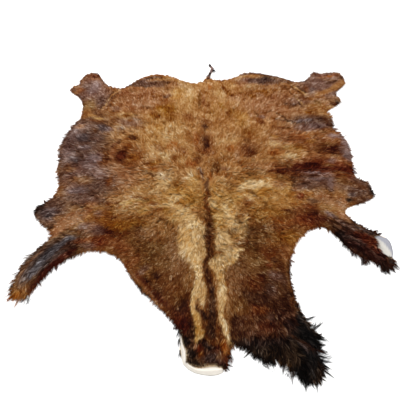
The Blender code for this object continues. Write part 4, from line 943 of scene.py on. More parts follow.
class ColourPlan:
    """The coat's colours, laid over one another in the tables' order."""

    def __init__(self, grounds: Sequence[Layer], details: Sequence[Layer]) -> None:
        """Keeps the tables.

        Args:
            grounds: The wide patches and streaks, whose edges wander most.
            details: The smaller ones over them.
        """
        self.grounds = grounds
        self.details = details

    @staticmethod
    def _wander(places: Array, wave: float, amount: float, salt: int) -> Array:
        """The places, each moved a little by smooth noise."""
        shift = np.stack([cloud(places, wave, salt, 3), cloud(places, wave, salt + 1, 3)], axis=1)
        return places + amount * shift

    def _cover(self, layer: Layer, places: Array) -> Array:
        """How much of a layer shows at each place, 0 to 1."""
        ways = {Patch: self._oval, Streak: self._line, Band: self._band}
        return ways[type(layer)](layer, places)

    @staticmethod
    def _oval(patch: Patch, places: Array) -> Array:
        """How much of the patch shows at each place, 0 to 1."""
        turn = math.radians(patch.turn)
        x, y = places[:, 0] - patch.x, places[:, 1] - patch.y
        along = (x * math.cos(turn) + y * math.sin(turn)) / patch.reach_x
        across = (y * math.cos(turn) - x * math.sin(turn)) / patch.reach_y
        return patch.cover * np.exp(-((along**2 + across**2) ** 2))

    @staticmethod
    def _line(streak: Streak, places: Array) -> Array:
        """How much of the streak shows at each place, 0 to 1."""
        nearest = np.full(len(places), np.inf)
        for start, end in zip(streak.line[:-1], streak.line[1:]):
            step = np.array(end) - np.array(start)
            from_start = places - np.array(start)
            share = np.clip(from_start @ step / (step @ step), 0, 1)
            nearest = np.minimum(nearest, np.hypot(*(from_start - share[:, None] * step).T))
        return streak.cover * np.exp(-((nearest / streak.half_width) ** 3))

    @staticmethod
    def _band(band: Band, places: Array) -> Array:
        """How much of the band shows at each place, 0 to 1."""
        deepest = np.full(len(places), -np.inf)
        for start, end in zip(band.line[:-1], band.line[1:]):
            step = np.array(end[:2]) - np.array(start[:2])
            from_start = places - np.array(start[:2])
            share = np.clip(from_start @ step / (step @ step), 0, 1)
            half = start[2] + (end[2] - start[2]) * share
            deepest = np.maximum(deepest, half - np.hypot(*(from_start - share[:, None] * step).T))
        return band.cover * eased(0.5 + deepest / band.soft)

    def at(self, points: Array) -> Array:
        """Reads the coat's colour.

        Args:
            points: Places in the part's frame, in an array of shape (n, 2).

        Returns:
            Linear colours, in an array of shape (n, 3).
        """
        drawn = points + DRAWING_MIDDLE
        colour = np.tile(np.array(Shade.TAN.value), (len(drawn), 1))
        wide, fine = self._wander(drawn, 0.10, 0.020, 11), self._wander(drawn, 0.04, 0.008, 21)
        for layers, places in ((self.grounds, wide), (self.details, fine)):
            for layer in layers:
                cover = self._cover(layer, places)[:, None]
                colour += (np.array(layer.shade.value) - colour) * cover
        return colour ** self._mottle(drawn)[:, None]

    def _mottle(self, drawn: Array) -> Array:
        """How much deeper or paler the hair is than the tables say, as a power of its colour."""
        bent = self._wander(drawn, 0.09, 0.05, 71)
        broad = cloud(bent, 0.11, 73, 2)
        close = cloud(self._wander(drawn, 0.04, 0.02, 75), 0.035, 77, 3)
        woolly = eased((drawn[:, 1] + 0.55) / 0.5) * 0.4 + 0.6
        return 1 + woolly * (0.22 * broad + 0.34 * close)


class Relief:
    """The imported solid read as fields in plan: its height, and how far a place lies inside."""

    PITCH = 0.008
    MARGIN = 0.08

    def __init__(self, node: bpy.types.Object) -> None:
        """Reads the solid's rim and casts a ray down at each place of a grid.

        Args:
            node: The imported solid.
        """
        solid = bmesh.new()
        solid.from_mesh(node.data)
        bmesh.ops.remove_doubles(solid, verts=solid.verts[:], dist=1e-5)
        self.rim = self._rim(solid)
        tree = BVHTree.FromBMesh(solid)
        solid.free()
        low = self.rim.min(axis=0) - self.MARGIN
        high = self.rim.max(axis=0) + self.MARGIN
        self.low = low
        columns, rows = ((high - low) / self.PITCH).astype(int) + 2
        xs = low[0] + self.PITCH * np.arange(columns)
        ys = low[1] + self.PITCH * np.arange(rows)
        places = np.stack(np.meshgrid(xs, ys), axis=-1).reshape(-1, 2)
        self.inside_field = self._signed_distance(places).reshape(rows, columns)
        down, over = Vector((0, 0, -1)), 1.0
        found = [tree.ray_cast(Vector((x, y, over)), down)[0] for x, y in places]
        heights = np.array([np.nan if hit is None else hit.z for hit in found])
        self.top_field = self._filled(heights.reshape(rows, columns))

    @staticmethod
    def _rim(solid: bmesh.types.BMesh) -> Array:
        """The solid's outline on the floor in order, without the tips of its locks."""
        floor = 1e-4
        walls = {(round(v.co.x, 4), round(v.co.y, 4)) for v in solid.verts if v.co.z > floor}
        flat = {f for f in solid.faces if max(v.co.z for v in f.verts) < floor}
        around: dict[bmesh.types.BMVert, list[bmesh.types.BMVert]] = {}
        for edge in solid.edges:
            if sum(f in flat for f in edge.link_faces) == 1:
                a, b = edge.verts
                around.setdefault(a, []).append(b)
                around.setdefault(b, []).append(a)
        start = here = next(iter(around))
        before, line = None, []
        while True:
            if (round(here.co.x, 4), round(here.co.y, 4)) in walls:
                line.append((here.co.x, here.co.y))
            ahead = next(v for v in around[here] if v is not before)
            before, here = here, ahead
            if here is start:
                return np.array(line)

    def _signed_distance(self, places: Array) -> Array:
        """The distance from each place to the rim, above 0 inside it."""
        nearest = np.full(len(places), np.inf)
        inner = np.zeros(len(places), bool)
        for a, b in zip(self.rim, np.roll(self.rim, -1, axis=0)):
            step = b - a
            away = places - a
            share = np.clip(away @ step / max(step @ step, 1e-12), 0, 1)
            nearest = np.minimum(nearest, np.hypot(*(away - share[:, None] * step).T))
            if a[1] != b[1]:
                across = (places[:, 1] < a[1]) != (places[:, 1] < b[1])
                inner ^= across & (places[:, 0] < a[0] + (places[:, 1] - a[1]) * step[0] / step[1])
        return np.where(inner, nearest, -nearest)

    @staticmethod
    def _filled(heights: Array) -> Array:
        """The grid with the empty places near the solid given their neighbours' mean height."""
        for _ in range(9):
            padded = np.pad(heights, 1, constant_values=np.nan)
            rows, columns = heights.shape
            around = np.stack(
                [
                    padded[1 + j : 1 + j + rows, 1 + i : 1 + i + columns]
                    for i, j in ((1, 0), (-1, 0), (0, 1), (0, -1))
                ]
            )
            known = ~np.isnan(around)
            mean = np.nansum(around, axis=0) / np.maximum(known.sum(axis=0), 1)
            empty = np.isnan(heights) & known.any(axis=0)
            heights = np.where(empty, mean, heights)
        return np.nan_to_num(heights)

    def _read(self, grid: Array, points: Array) -> Array:
        """The grid's value at each place, between its nodes too."""
        place = (points - self.low) / self.PITCH
        rows, columns = grid.shape
        place = np.clip(place, 0, np.array([columns, rows]) - 1.001)
        cell = place.astype(int)
        part = place - cell
        x, y = cell[:, 0], cell[:, 1]
        near = grid[y, x] * (1 - part[:, 0]) + grid[y, x + 1] * part[:, 0]
        far = grid[y + 1, x] * (1 - part[:, 0]) + grid[y + 1, x + 1] * part[:, 0]
        return near * (1 - part[:, 1]) + far * part[:, 1]

    def inside(self, points: Array) -> Array:
        """How far each place lies inside the rim, below 0 outside it."""
        return self._read(self.inside_field, points)

    def outward(self, points: Array) -> Array:
        """The direction to the rim at each place, of length 1 or less."""
        step = self.PITCH
        slope = [
            self.inside(points - np.array(move)) - self.inside(points + np.array(move))
            for move in ((step, 0), (0, step))
        ]
        return np.stack(slope, axis=1) / (2 * step)

    def top(self, points: Array) -> Array:
        """The coat's height at each place, which falls to 0 a little way outside the rim."""
        fall = 0.030
        return self._read(self.top_field, points) * eased(1 + self.inside(points) / fall)


class Grooming:
    """Which way the hair lies and how it lies, over the whole hide."""

    SOFTNESS = 0.012

    def angle(self, points: Array) -> Array:
        """The combed direction at each place, in radians.

        Args:
            points: Places in the part's frame, in an array of shape (n, 2).

        Returns:
            The direction's angle from +X towards +Y.
        """
        drawn = points + DRAWING_MIDDLE
        along = np.zeros((len(points), 2))
        for comb in COMBING:
            away = (drawn[:, 0] - comb.x) ** 2 + (drawn[:, 1] - comb.y) ** 2
            weight = 1 / (away + self.SOFTNESS) ** 2
            turn = math.radians(comb.angle)
            along += weight[:, None] * np.array([math.cos(turn), math.sin(turn)])
        return np.arctan2(along[:, 1], along[:, 0])

    def streaks(self, points: Array, wave: float, reach: float, salt: int) -> Array:
        """Noise drawn out along the combing, from about -1 to 1.

        Args:
            points: Places in the part's frame, in an array of shape (n, 2).
            wave: How wide its streaks are.
            reach: Half their length.
            salt: Picks one of many noises.

        Returns:
            The noise at each place.
        """
        steps = 4
        total = cloud(points, wave, salt)
        for sign in (-1, 1):
            place = points
            for _ in range(steps):
                turn = self.angle(place) + 0.7 * cloud(place, 0.09, salt + 1)
                place = place + sign * reach / steps * np.stack([np.cos(turn), np.sin(turn)], axis=1)
                total = total + cloud(place, wave, salt)
        return total * 2.2 / (2 * steps + 1)

    def lay(self, points: Array) -> dict[str, Array]:
        """How the hair lies at each place.

        Args:
            points: Places in the part's frame, in an array of shape (n, 2).

        Returns:
            The fields of Lay from length on, by name, in metres and radians.
        """
        drawn = points + DRAWING_MIDDLE
        names = ("length", "lift", "curl", "mess", "pull")
        total = np.zeros((len(points), len(names)))
        weights = np.full(len(points), 1e-6)
        for lay in LAYS:
            away = ((drawn[:, 0] - lay.x) ** 2 + (drawn[:, 1] - lay.y) ** 2) / lay.reach**2
            weight = np.exp(-1.6 * away) + 1e-4 / (1 + away)
            total += weight[:, None] * np.array([getattr(lay, name) for name in names])
            weights += weight
        mean = total / weights[:, None]
        units = (1e-3, 1e-3, math.pi / 180, math.pi / 180, 1.0)
        return {name: mean[:, k] * units[k] for k, name in enumerate(names)}


class Wire:
    """A shader socket that Python's operators act on."""

    def __init__(self, board: "Board", socket: bpy.types.NodeSocket) -> None:
        """Keeps the socket and the board that its nodes go on."""
        self.board = board
        self.socket = socket

    def _math(self, operation: str, first: "Wire | float", second: "Wire | float") -> "Wire":
        """A Math node on two values."""
        return self.board.node("ShaderNodeMath", {"operation": operation}, {0: first, 1: second})

    def __add__(self, other: "Wire | float") -> "Wire":
        """The sum."""
        return self._math("ADD", self, other)

    def __radd__(self, other: float) -> "Wire":
        """The sum, from the right."""
        return self._math("ADD", other, self)

    def __sub__(self, other: "Wire | float") -> "Wire":
        """The difference."""
        return self._math("SUBTRACT", self, other)

    def __rsub__(self, other: float) -> "Wire":
        """The difference, from the right."""
        return self._math("SUBTRACT", other, self)

    def __mul__(self, other: "Wire | float") -> "Wire":
        """The product."""
        return self._math("MULTIPLY", self, other)

    def __rmul__(self, other: float) -> "Wire":
        """The product, from the right."""
        return self._math("MULTIPLY", other, self)

    def __pow__(self, other: float) -> "Wire":
        """The power."""
        return self._math("POWER", self, other)


class Board:
    """A material's node tree, and the one method that adds nodes to it."""

    def __init__(self, name: str) -> None:
        """Starts a material with a Principled shader.

        Args:
            name: The material's name.
        """
        self.material = bpy.data.materials.new(name)
        self.material.use_nodes = True
        self.tree = self.material.node_tree
        self.shader = self.tree.nodes["Principled BSDF"]

    def node(
        self,
        kind: str,
        settings: dict[str, object] | None = None,
        inputs: dict[int | str, object] | None = None,
        output: int | str = 0,
    ) -> Wire:
        """Adds a node.

        Args:
            kind: Its type.
            settings: Its own settings, set first. A ramp's stops are (place, colour) pairs.
            inputs: Values or wires, by input.
            output: The output that is wanted.

        Returns:
            The wanted output.
        """
        made = self.tree.nodes.new(kind)
        for name, value in (settings or {}).items():
            if name == "stops":
                ramp = made.color_ramp
                while len(ramp.elements) < len(value):
                    ramp.elements.new(0.5)
                for stop, (place, colour) in zip(ramp.elements, value):
                    stop.position = place
                    stop.color = (*colour, 1.0)
            else:
                setattr(made, name, value)
        for place, value in (inputs or {}).items():
            self._fill(made.inputs[place], value)
        return Wire(self, made.outputs[output])

    def _fill(self, socket: bpy.types.NodeSocket, value: object) -> None:
        """Links a wire to the socket, or gives it the value."""
        if isinstance(value, Wire):
            self.tree.links.new(value.socket, socket)
        elif isinstance(value, tuple) and len(value) == 3 and socket.type == "RGBA":
            socket.default_value = (*value, 1.0)
        else:
            socket.default_value = value

    def shade(self, **values: object) -> None:
        """Fills the Principled shader's sockets, named with underscores for spaces."""
        for name, value in values.items():
            self._fill(self.shader.inputs[name.replace("_", " ")], value)

    def noise(
        self, scale: float, detail: float = 3.0, stretch: tuple[float, float, float] = (1, 1, 1)
    ) -> Wire:
        """Noise on Object coordinates.

        Args:
            scale: Its blots per metre.
            detail: Its octaves.
            stretch: How much closer its blots lie along each axis.

        Returns:
            Its value, 0 to 1.
        """
        place = self.node("ShaderNodeTexCoord", output="Object")
        spread = self.node("ShaderNodeMapping", {}, {"Vector": place, "Scale": stretch})
        return self.node(
            "ShaderNodeTexNoise", {}, {"Vector": spread, "Scale": scale, "Detail": detail}
        )

    def blend(self, factor: "Wire | float", first: object, second: object, how: str = "MIX") -> Wire:
        """A Mix node on two colours.

        Args:
            factor: How much of the second there is.
            first: A wire or a colour.
            second: A wire or a colour.
            how: The node's blend type.

        Returns:
            The mixed colour.
        """
        settings = {"data_type": "RGBA", "blend_type": how}
        return self.node("ShaderNodeMix", settings, {0: factor, 6: first, 7: second}, 2)

    def bump(self, height: Wire, strength: float, distance: float) -> Wire:
        """A Bump node.

        Args:
            height: The relief, 0 to 1.
            strength: How much of it shows.
            distance: How high 1 is, in metres.

        Returns:
            The bumped normal.
        """
        inputs = {"Strength": strength, "Distance": distance, "Height": height}
        return self.node("ShaderNodeBump", {}, inputs)


@dataclass(frozen=True)
class HairFinish:
    """Hair with its colour on its mesh.

    Attributes:
        name: The material's name.
        sheen: How much soft light its fine hairs catch.
        gloss: The strength of its highlight.
    """

    name: str
    sheen: float = 0.0
    gloss: float = 0.03

    def material(self) -> bpy.types.Material:
        """Makes the material.

        Returns:
            A material that reads the coat's colours from the mesh.
        """
        board = Board(self.name)
        coat = board.node("ShaderNodeAttribute", {"attribute_name": COLOUR_LAYER}, output="Color")
        grain = board.noise(220.0, 2.0)
        board.shade(
            Base_Color=board.blend(0.25, coat, board.blend(grain, (0.45,) * 3, (1.0,) * 3), "MULTIPLY"),
            Roughness=0.50 + 0.22 * grain,
            Sheen_Weight=self.sheen,
            Sheen_Roughness=0.45,
            Specular_IOR_Level=self.gloss,
        )
        return board.material


@dataclass(frozen=True)
class UndercoatFinish:
    """The matted wool under the hair.

    Attributes:
        name: The material's name.
    """

    name: str = "matted_underwool"

    def material(self) -> bpy.types.Material:
        """Makes the material.

        Returns:
            A rough wool that reads the coat's colours from the mesh.
        """
        board = Board(self.name)
        coat = board.node("ShaderNodeAttribute", {"attribute_name": COLOUR_LAYER}, output="Color")
        tangle = board.noise(300.0, 4.0)
        board.shade(
            Base_Color=board.blend(0.6, coat, board.blend(tangle, (0.25,) * 3, (1.0,) * 3), "MULTIPLY"),
            Roughness=0.95,
            Specular_IOR_Level=0.1,
            Normal=board.bump(tangle, 0.9, 0.003),
        )
        return board.material


@dataclass(frozen=True)
class SkinFinish:
    """Tanned skin, as on the flesh side.

    Attributes:
        name: The material's name.
        pale: Its lightest colour.
        deep: Its darkest colour.
        roughness: How matt it is.
        nap: The height of its nap, in metres.
    """

    name: str
    pale: tuple[float, float, float]
    deep: tuple[float, float, float]
    roughness: float
    nap: float

    def material(self) -> bpy.types.Material:
        """Makes the material.

        Returns:
            A mottled skin with a fine nap and broad stretch marks.
        """
        board = Board(self.name)
        mottle = board.noise(7.0, 5.0)
        veins = board.noise(22.0, 6.0, (1.0, 2.2, 1.0))
        fine = board.noise(420.0, 2.0)
        cloudy = board.node(
            "ShaderNodeValToRGB", {"stops": ((0.36, self.deep), (0.60, self.pale))}, {"Fac": mottle}
        )
        lined = board.blend(0.35 * veins, cloudy, self.deep)
        board.shade(
            Base_Color=lined,
            Roughness=self.roughness + 0.12 * (mottle - 0.5),
            Sheen_Weight=0.15,
            Specular_IOR_Level=0.3,
            Normal=board.bump(0.7 * veins + 0.3 * fine, 0.6, self.nap),
        )
        return board.material


@dataclass(frozen=True)
class BareSkinFinish:
    """Dry bare skin with its colour on its mesh.

    Attributes:
        name: The material's name.
    """

    name: str

    def material(self) -> bpy.types.Material:
        """Makes the material.

        Returns:
            A faintly mottled, slightly glossy skin.
        """
        board = Board(self.name)
        tint = board.node("ShaderNodeAttribute", {"attribute_name": COLOUR_LAYER}, output="Color")
        mottle = board.noise(60.0, 4.0)
        worn = board.blend(mottle, (0.45, 0.42, 0.38), (1.0, 1.0, 1.0))
        board.shade(
            Base_Color=board.blend(0.35, tint, worn, "MULTIPLY"),
            Roughness=0.55,
            Specular_IOR_Level=0.35,
            Normal=board.bump(mottle, 0.4, 0.002),
        )
        return board.material


@dataclass(frozen=True)
class FloorFinish:
    """The plain pale floor.

    Attributes:
        name: The material's name.
        colour: Its colour.
    """

    name: str = "plain_floor"
    colour: tuple[float, float, float] = (0.92, 0.92, 0.92)

    def material(self) -> bpy.types.Material:
        """Makes the material.

        Returns:
            A matt pale surface.
        """
        board = Board(self.name)
        board.shade(Base_Color=self.colour, Roughness=0.9, Specular_IOR_Level=0.1)
        return board.material


def shown(name: str, data: bpy.types.Mesh, material: bpy.types.Material) -> bpy.types.Object:
    """Puts a mesh in the scene as a piece of the hide.

    Args:
        name: The piece's name.
        data: Its mesh, in the part's frame.
        material: Its finish.

    Returns:
        The piece.
    """
    piece = bpy.data.objects.new(name, data)
    data.materials.append(material)
    bpy.context.scene.collection.objects.link(piece)
    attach(piece, BODY)
    return piece


def give_colours(data: bpy.types.Mesh, colours: Array) -> None:
    """Writes one linear colour for each point of a mesh.

    Args:
        data: The mesh.
        colours: Its points' colours, in an array of shape (n, 3).
    """
    layer = data.color_attributes.new(name=COLOUR_LAYER, type="FLOAT_COLOR", domain="POINT")
    opaque = np.concatenate([colours, np.ones((len(colours), 1))], axis=1)
    layer.data.foreach_set("color", opaque.astype(np.float32).ravel())


def points_of(data: bpy.types.Mesh) -> Array:
    """The mesh's points, in an array of shape (n, 3)."""
    flat = np.empty(len(data.vertices) * 3, np.float32)
    data.vertices.foreach_get("co", flat)
    return flat.reshape(-1, 3).astype(float)


def place_points(data: bpy.types.Mesh, points: Array) -> None:
    """Moves the mesh's points to these places."""
    data.vertices.foreach_set("co", points.astype(np.float32).ravel())
    data.update()


def without_lock_tips(node: bpy.types.Object, inset: float) -> bmesh.types.BMesh:
    """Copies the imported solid, with the tips of its locks drawn back to its rim.

    Args:
        node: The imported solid.
        inset: How far inside the line between a tip's neighbours the tip goes.

    Returns:
        The copy.
    """
    solid = bmesh.new()
    solid.from_mesh(node.data)
    bmesh.ops.remove_doubles(solid, verts=solid.verts[:], dist=1e-5)
    floor = 1e-4
    walls = {(round(v.co.x, 4), round(v.co.y, 4)) for v in solid.verts if v.co.z > floor}
    flat = {f for f in solid.faces if max(v.co.z for v in f.verts) < floor}
    moves = []
    for vert in solid.verts:
        if vert.co.z > floor or (round(vert.co.x, 4), round(vert.co.y, 4)) in walls:
            continue
        rim = [e for e in vert.link_edges if sum(f in flat for f in e.link_faces) == 1]
        if len(rim) != 2:
            continue
        middle = sum((e.other_vert(vert).co for e in rim), Vector()) / 2
        inwards = (middle - vert.co).normalized() * inset
        moves.append((vert, middle + inwards))
    for vert, place in moves:
        vert.co = place
    return solid


@dataclass
class Undercoat:
    """The matted wool that fills the coat under its hair.

    Attributes:
        share: Its height, as a share of the coat's.
        cuts: How finely the solid's faces are divided.
        lumps: How far its lumps rise and fall, as a share of its height.
        darkness: How much darker it is than the hair over it, as painted shade in the gaps between the
            hairs.
    """

    share: float = 0.66
    cuts: int = 2
    lumps: float = 0.28
    darkness: float = 0.85

    def build(self, node: bpy.types.Object, relief: Relief, colours: ColourPlan) -> bpy.types.Object:
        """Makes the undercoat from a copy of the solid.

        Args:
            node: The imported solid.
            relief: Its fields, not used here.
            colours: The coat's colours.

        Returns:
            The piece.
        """
        solid = without_lock_tips(node, 0.002)
        rising = [e for e in solid.edges if max(v.co.z for v in e.verts) > 1e-4]
        bmesh.ops.subdivide_edges(solid, edges=rising, cuts=self.cuts, use_grid_fill=True)
        bmesh.ops.triangulate(solid, faces=solid.faces[:])
        bmesh.ops.recalc_face_normals(solid, faces=solid.faces[:])
        data = bpy.data.meshes.new("underwool")
        solid.to_mesh(data)
        solid.free()
        points = points_of(data)
        plan = points[:, :2]
        lumpy = 1 + self.lumps * cloud(plan, 0.045, 41, 3)
        under = 0.002
        points[:, 2] = under + np.maximum(points[:, 2] * self.share * lumpy, 0.0)
        # Painted shade: the wool is darker than the hair over it, as the gaps between the hairs would be
        # in shade.
        tints = as_hair(colours.at(plan)) * self.darkness
        for ring in BARE_PLACES[:2]:
            bare = within(plan + DRAWING_MIDDLE, ring)
            points[bare, 2] = np.minimum(points[bare, 2], under + 0.0005)
            tints[bare] = Shade.IVORY.value
        place_points(data, points)
        give_colours(data, tints)
        data.shade_smooth()
        return shown("underwool", data, UndercoatFinish().material())


class Section(Enum):
    """The lengths of hide that the coat's hair is made in, from y to y in the drawing."""

    RUMP = (0.74, 1.30)
    LOIN = (0.40, 0.74)
    BACK = (0.10, 0.40)
    SHOULDER = (-0.18, 0.10)
    HUMP = (-0.52, -0.18)
    NECK = (-1.30, -0.52)


@dataclass
class Strands:
    """Flat tapered hairs from arrays, joined in one mesh.

    Attributes:
        paths: Their middle lines, of shape (hairs, stations, 3).
        widths: Their root widths.
        rolls: How far each is rolled about its line, in radians.
        roots: Their root colours, darkened as painted shade deep in the coat.
        tips: Their tip colours, lightened as painted light on the tips.
        taper: A hair's width at each station but its tip, as a share of its root width.
    """

    paths: Array
    widths: Array
    rolls: Array
    roots: Array
    tips: Array
    taper: tuple[float, ...] = (0.75, 1.0, 0.85, 0.6)

    def mesh(self, name: str) -> bpy.types.Mesh:
        """Joins the hairs.

        Args:
            name: The mesh's name.

        Returns:
            A mesh with colours, and with a small field of the bake image for each hair.
        """
        hairs, stations, _ = self.paths.shape
        along = np.gradient(self.paths, axis=1)
        along /= np.maximum(np.linalg.norm(along, axis=2, keepdims=True), 1e-9)
        level = np.stack([-along[..., 1], along[..., 0], np.zeros((hairs, stations))], axis=2)
        level /= np.maximum(np.linalg.norm(level, axis=2, keepdims=True), 1e-9)
        upright = np.cross(along, level)
        roll = self.rolls[:, None, None]
        across = level * np.cos(roll) + upright * np.sin(roll)
        body = stations - 1
        half = 0.5 * self.widths[:, None, None] * np.array(self.taper[:body])[None, :, None]
        left = self.paths[:, :body] - across[:, :body] * half
        right = self.paths[:, :body] + across[:, :body] * half
        per_hair = 2 * body + 1
        verts = np.empty((hairs, per_hair, 3))
        verts[:, 0 : 2 * body : 2] = left
        verts[:, 1 : 2 * body : 2] = right
        verts[:, -1] = self.paths[:, -1]
        verts[..., 2] = np.maximum(verts[..., 2], 0.0008)
        return self._joined(name, verts, body)

    def _joined(self, name: str, verts: Array, body: int) -> bpy.types.Mesh:
        """The mesh of these points, with its faces, colours and bake fields."""
        hairs, per_hair, _ = verts.shape
        quads = [(2 * k, 2 * k + 1, 2 * k + 3, 2 * k + 2) for k in range(body - 1)]
        corners = [c for quad in quads for c in quad] + [2 * body - 2, 2 * body - 1, 2 * body]
        sizes = np.tile([4] * (body - 1) + [3], hairs)
        first = (np.arange(hairs) * per_hair)[:, None]
        data = bpy.data.meshes.new(name)
        data.vertices.add(hairs * per_hair)
        data.vertices.foreach_set("co", verts.astype(np.float32).ravel())
        data.loops.add(hairs * len(corners))
        data.loops.foreach_set("vertex_index", (first + np.array(corners)).astype(np.int32).ravel())
        data.polygons.add(hairs * body)
        starts = np.concatenate([[0], np.cumsum(sizes)[:-1]])
        data.polygons.foreach_set("loop_start", starts.astype(np.int32))
        data.update(calc_edges=True)
        data.shade_smooth()
        share = np.array([k // 2 for k in range(2 * body)] + [body]) / body
        colours = self.roots[:, None] + (self.tips - self.roots)[:, None] * share[None, :, None]
        give_colours(data, colours.reshape(-1, 3))
        self._give_fields(data, verts[:, 0, :2], share, corners)
        return data

    @staticmethod
    def _give_fields(data: bpy.types.Mesh, places: Array, share: Array, corners: list[int]) -> None:
        """Gives each hair its own field of the bake image, near those of its neighbours."""
        hairs = len(places)
        rows = math.ceil(math.sqrt(hairs))
        by_depth = np.argsort(places[:, 1], kind="stable")
        order = np.empty(hairs, int)
        for row in range(rows):
            members = by_depth[row * rows : (row + 1) * rows]
            in_row = members[np.argsort(places[members, 0], kind="stable")]
            order[in_row] = row * rows + np.arange(len(members))
        corner = np.stack([order % rows, order // rows], axis=1) / rows
        gap = 0.18
        local = np.stack([np.array([k % 2 for k in range(len(share) - 1)] + [0.5]), share], axis=1)
        local = (gap + (1 - 2 * gap) * local) / rows
        uv = (corner[:, None] + local[None])[:, corners]
        layer = data.uv_layers.new(name=BAKE_LAYER)
        layer.data.foreach_set("uv", uv.astype(np.float32).ravel())


@dataclass
class Coat:
    """The combed hair of the whole hide.

    Attributes:
        relief: The solid's fields.
        grooming: How the hair lies.
        colours: The coat's colours.
        pitch: The mean distance between two hairs.
        lock: The mean distance between two locks.
        width: A hair's width at its root.
        steps: The pieces that a hair's line is made of.
        lock_contrast: How much the locks differ in depth of colour.
        hair_contrast: How much single hairs differ in depth of colour.
        hair_limits: The palest and deepest a hair may be, in those differences.
        streak_contrast: How much the long streaks differ in depth of colour.
    """

    relief: Relief
    grooming: Grooming
    colours: ColourPlan
    pitch: float = 0.0043
    lock: float = 0.014
    width: float = 0.0030
    steps: int = 3
    lock_contrast: float = 0.36
    hair_contrast: float = 0.22
    hair_limits: tuple[float, float] = (-1.4, 2.0)
    streak_contrast: float = 0.20

    def roots(self, section: Section) -> Array:
        """Where the hairs of one section stand.

        Args:
            section: The section.

        Returns:
            Places in the part's frame, in an array of shape (n, 2).
        """
        low = self.relief.low
        high = low + self.relief.PITCH * np.array(self.relief.top_field.shape[::-1])
        y_from, y_to = (y - DRAWING_MIDDLE[1] for y in section.value)
        columns = np.arange(int((high[0] - low[0]) / self.pitch))
        rows = np.arange(int((high[1] - low[1]) / self.pitch))
        cells = np.stack(np.meshgrid(columns, rows), axis=-1).reshape(-1, 2)
        jitter = np.stack([hashed(cells, 1), hashed(cells, 2)], axis=1)
        places = low + (cells + 0.5 + 0.9 * (jitter - 0.5)) * self.pitch
        places = places[(places[:, 1] >= y_from) & (places[:, 1] < y_to)]
        places = places[self.relief.inside(places) > 0.003]
        for ring in BARE_PLACES:
            places = places[~within(places + DRAWING_MIDDLE, ring)]
        return places

    def locks(self, roots: Array) -> Array:
        """The middle of the lock that each hair belongs to."""
        cell = np.floor(roots / self.lock)
        best, nearest = roots.copy(), np.full(len(roots), np.inf)
        for i in (-1, 0, 1):
            for j in (-1, 0, 1):
                other = cell + np.array([i, j])
                key = other + 5000
                jitter = np.stack([hashed(key, 3), hashed(key, 4)], axis=1)
                middle = (other + 0.15 + 0.7 * jitter) * self.lock
                away = np.hypot(*(roots - middle).T)
                closer = away < nearest
                best[closer], nearest[closer] = middle[closer], away[closer]
        return best

    def build(self, section: Section) -> bpy.types.Object:
        """Makes the hair of one section.

        Args:
            section: The section.

        Returns:
            The piece.
        """
        rng = np.random.default_rng(SEED + list(Section).index(section))
        roots = self.roots(section)
        middles = self.locks(roots)
        key = np.round(middles * 1e5) + 5e5
        lay = self.grooming.lay(middles)
        edge = 1 - eased(self.relief.inside(middles) / 0.035)
        out = self.relief.outward(middles)
        combed = self.grooming.angle(middles)
        along = np.stack([np.cos(combed), np.sin(combed)], axis=1) + 0.35 * edge[:, None] * out
        drift = 0.5 * cloud(middles, 0.07, 51, 2) + 0.5 * (2 * hashed(key, 5) - 1)
        start = np.arctan2(along[:, 1], along[:, 0]) + 2.2 * lay["mess"] * drift
        curl = lay["curl"] * (2 * hashed(key, 6) - 1) * 1.3
        length = lay["length"] * (0.75 + 0.5 * hashed(key, 7)) * (1 - 0.45 * edge)

        share = np.linspace(0, 1, self.steps + 1)
        heading = start[:, None] + curl[:, None] * (share[None, 1:] - 0.5 / self.steps)
        step = (length / self.steps)[:, None, None]
        moves = np.stack([np.cos(heading), np.sin(heading)], axis=2) * step
        lock_line = np.concatenate([np.zeros((len(roots), 1, 2)), np.cumsum(moves, axis=1)], axis=1)
        own = (0.8 + 0.4 * rng.random(len(roots)))[:, None, None]
        stray = 0.12 * lay["length"][:, None, None] * rng.standard_normal((len(roots), 1, 2))
        plan = roots[:, None] + lock_line * own + stray * share[None, :, None]
        pull = (lay["pull"] * (1 - 0.8 * edge))[:, None, None] * (share**1.3)[None, :, None]
        plan += (middles[:, None] + lock_line - plan) * pull * 0.8

        covering = np.zeros(len(roots), bool)
        for ring in BARE_PLACES:
            covering |= within(plan[:, -1] + DRAWING_MIDDLE, ring)
        plan[covering] = roots[covering, None] + 0.3 * (plan[covering] - roots[covering, None])

        flat = plan.reshape(-1, 2)
        surface = self.relief.top(flat).reshape(len(roots), -1)
        bulge = 0.5 + 0.5 * hashed(key, 8)[:, None] + 0.25 * rng.standard_normal((len(roots), 1))
        streak = self.grooming.streaks(roots, 0.012, 0.045, 55)
        ridge = self.grooming.streaks(roots, 0.024, 0.060, 57)
        rise = (0.42 + 0.52 * share[None] ** 0.7) * (1 - 0.16 * ridge[:, None])
        deep_wool = 0.35 + 0.65 * eased(surface / 0.02)
        lift = lay["lift"][:, None] * bulge * np.sin(share * 2.2)[None] * deep_wool
        height = np.maximum(surface * rise + lift, 0.0012 + 0.002 * rng.random((len(roots), 1)) * share)
        paths = np.concatenate([plan, height[..., None]], axis=2)

        by_lock = self.lock_contrast * (hashed(key, 9) - 0.5)
        by_hair = self.hair_contrast * np.clip(rng.standard_normal(len(roots)), *self.hair_limits)
        depth = (1 + by_lock + by_hair + self.streak_contrast * streak)[:, None]
        near, far = (as_hair(self.colours.at(plan[:, k]) ** depth) for k in (1, self.steps - 1))
        hairs = Strands(
            paths=paths,
            widths=self.width * (0.7 + 0.6 * rng.random(len(roots))),
            rolls=0.35 * rng.standard_normal(len(roots)),
            # Painted shade and light: roots darker, as deep in the coat, and tips paler, as lit on top.
            roots=near * 0.80,
            tips=far * 1.12,
        )
        name = f"coat_{section.name.lower()}"
        data = hairs.mesh(name)
        LOG.info("%s: %d hairs, %d triangles", name, len(roots), len(roots) * (2 * self.steps - 1))
        return shown(name, data, HairFinish(f"{name}_hair").material())


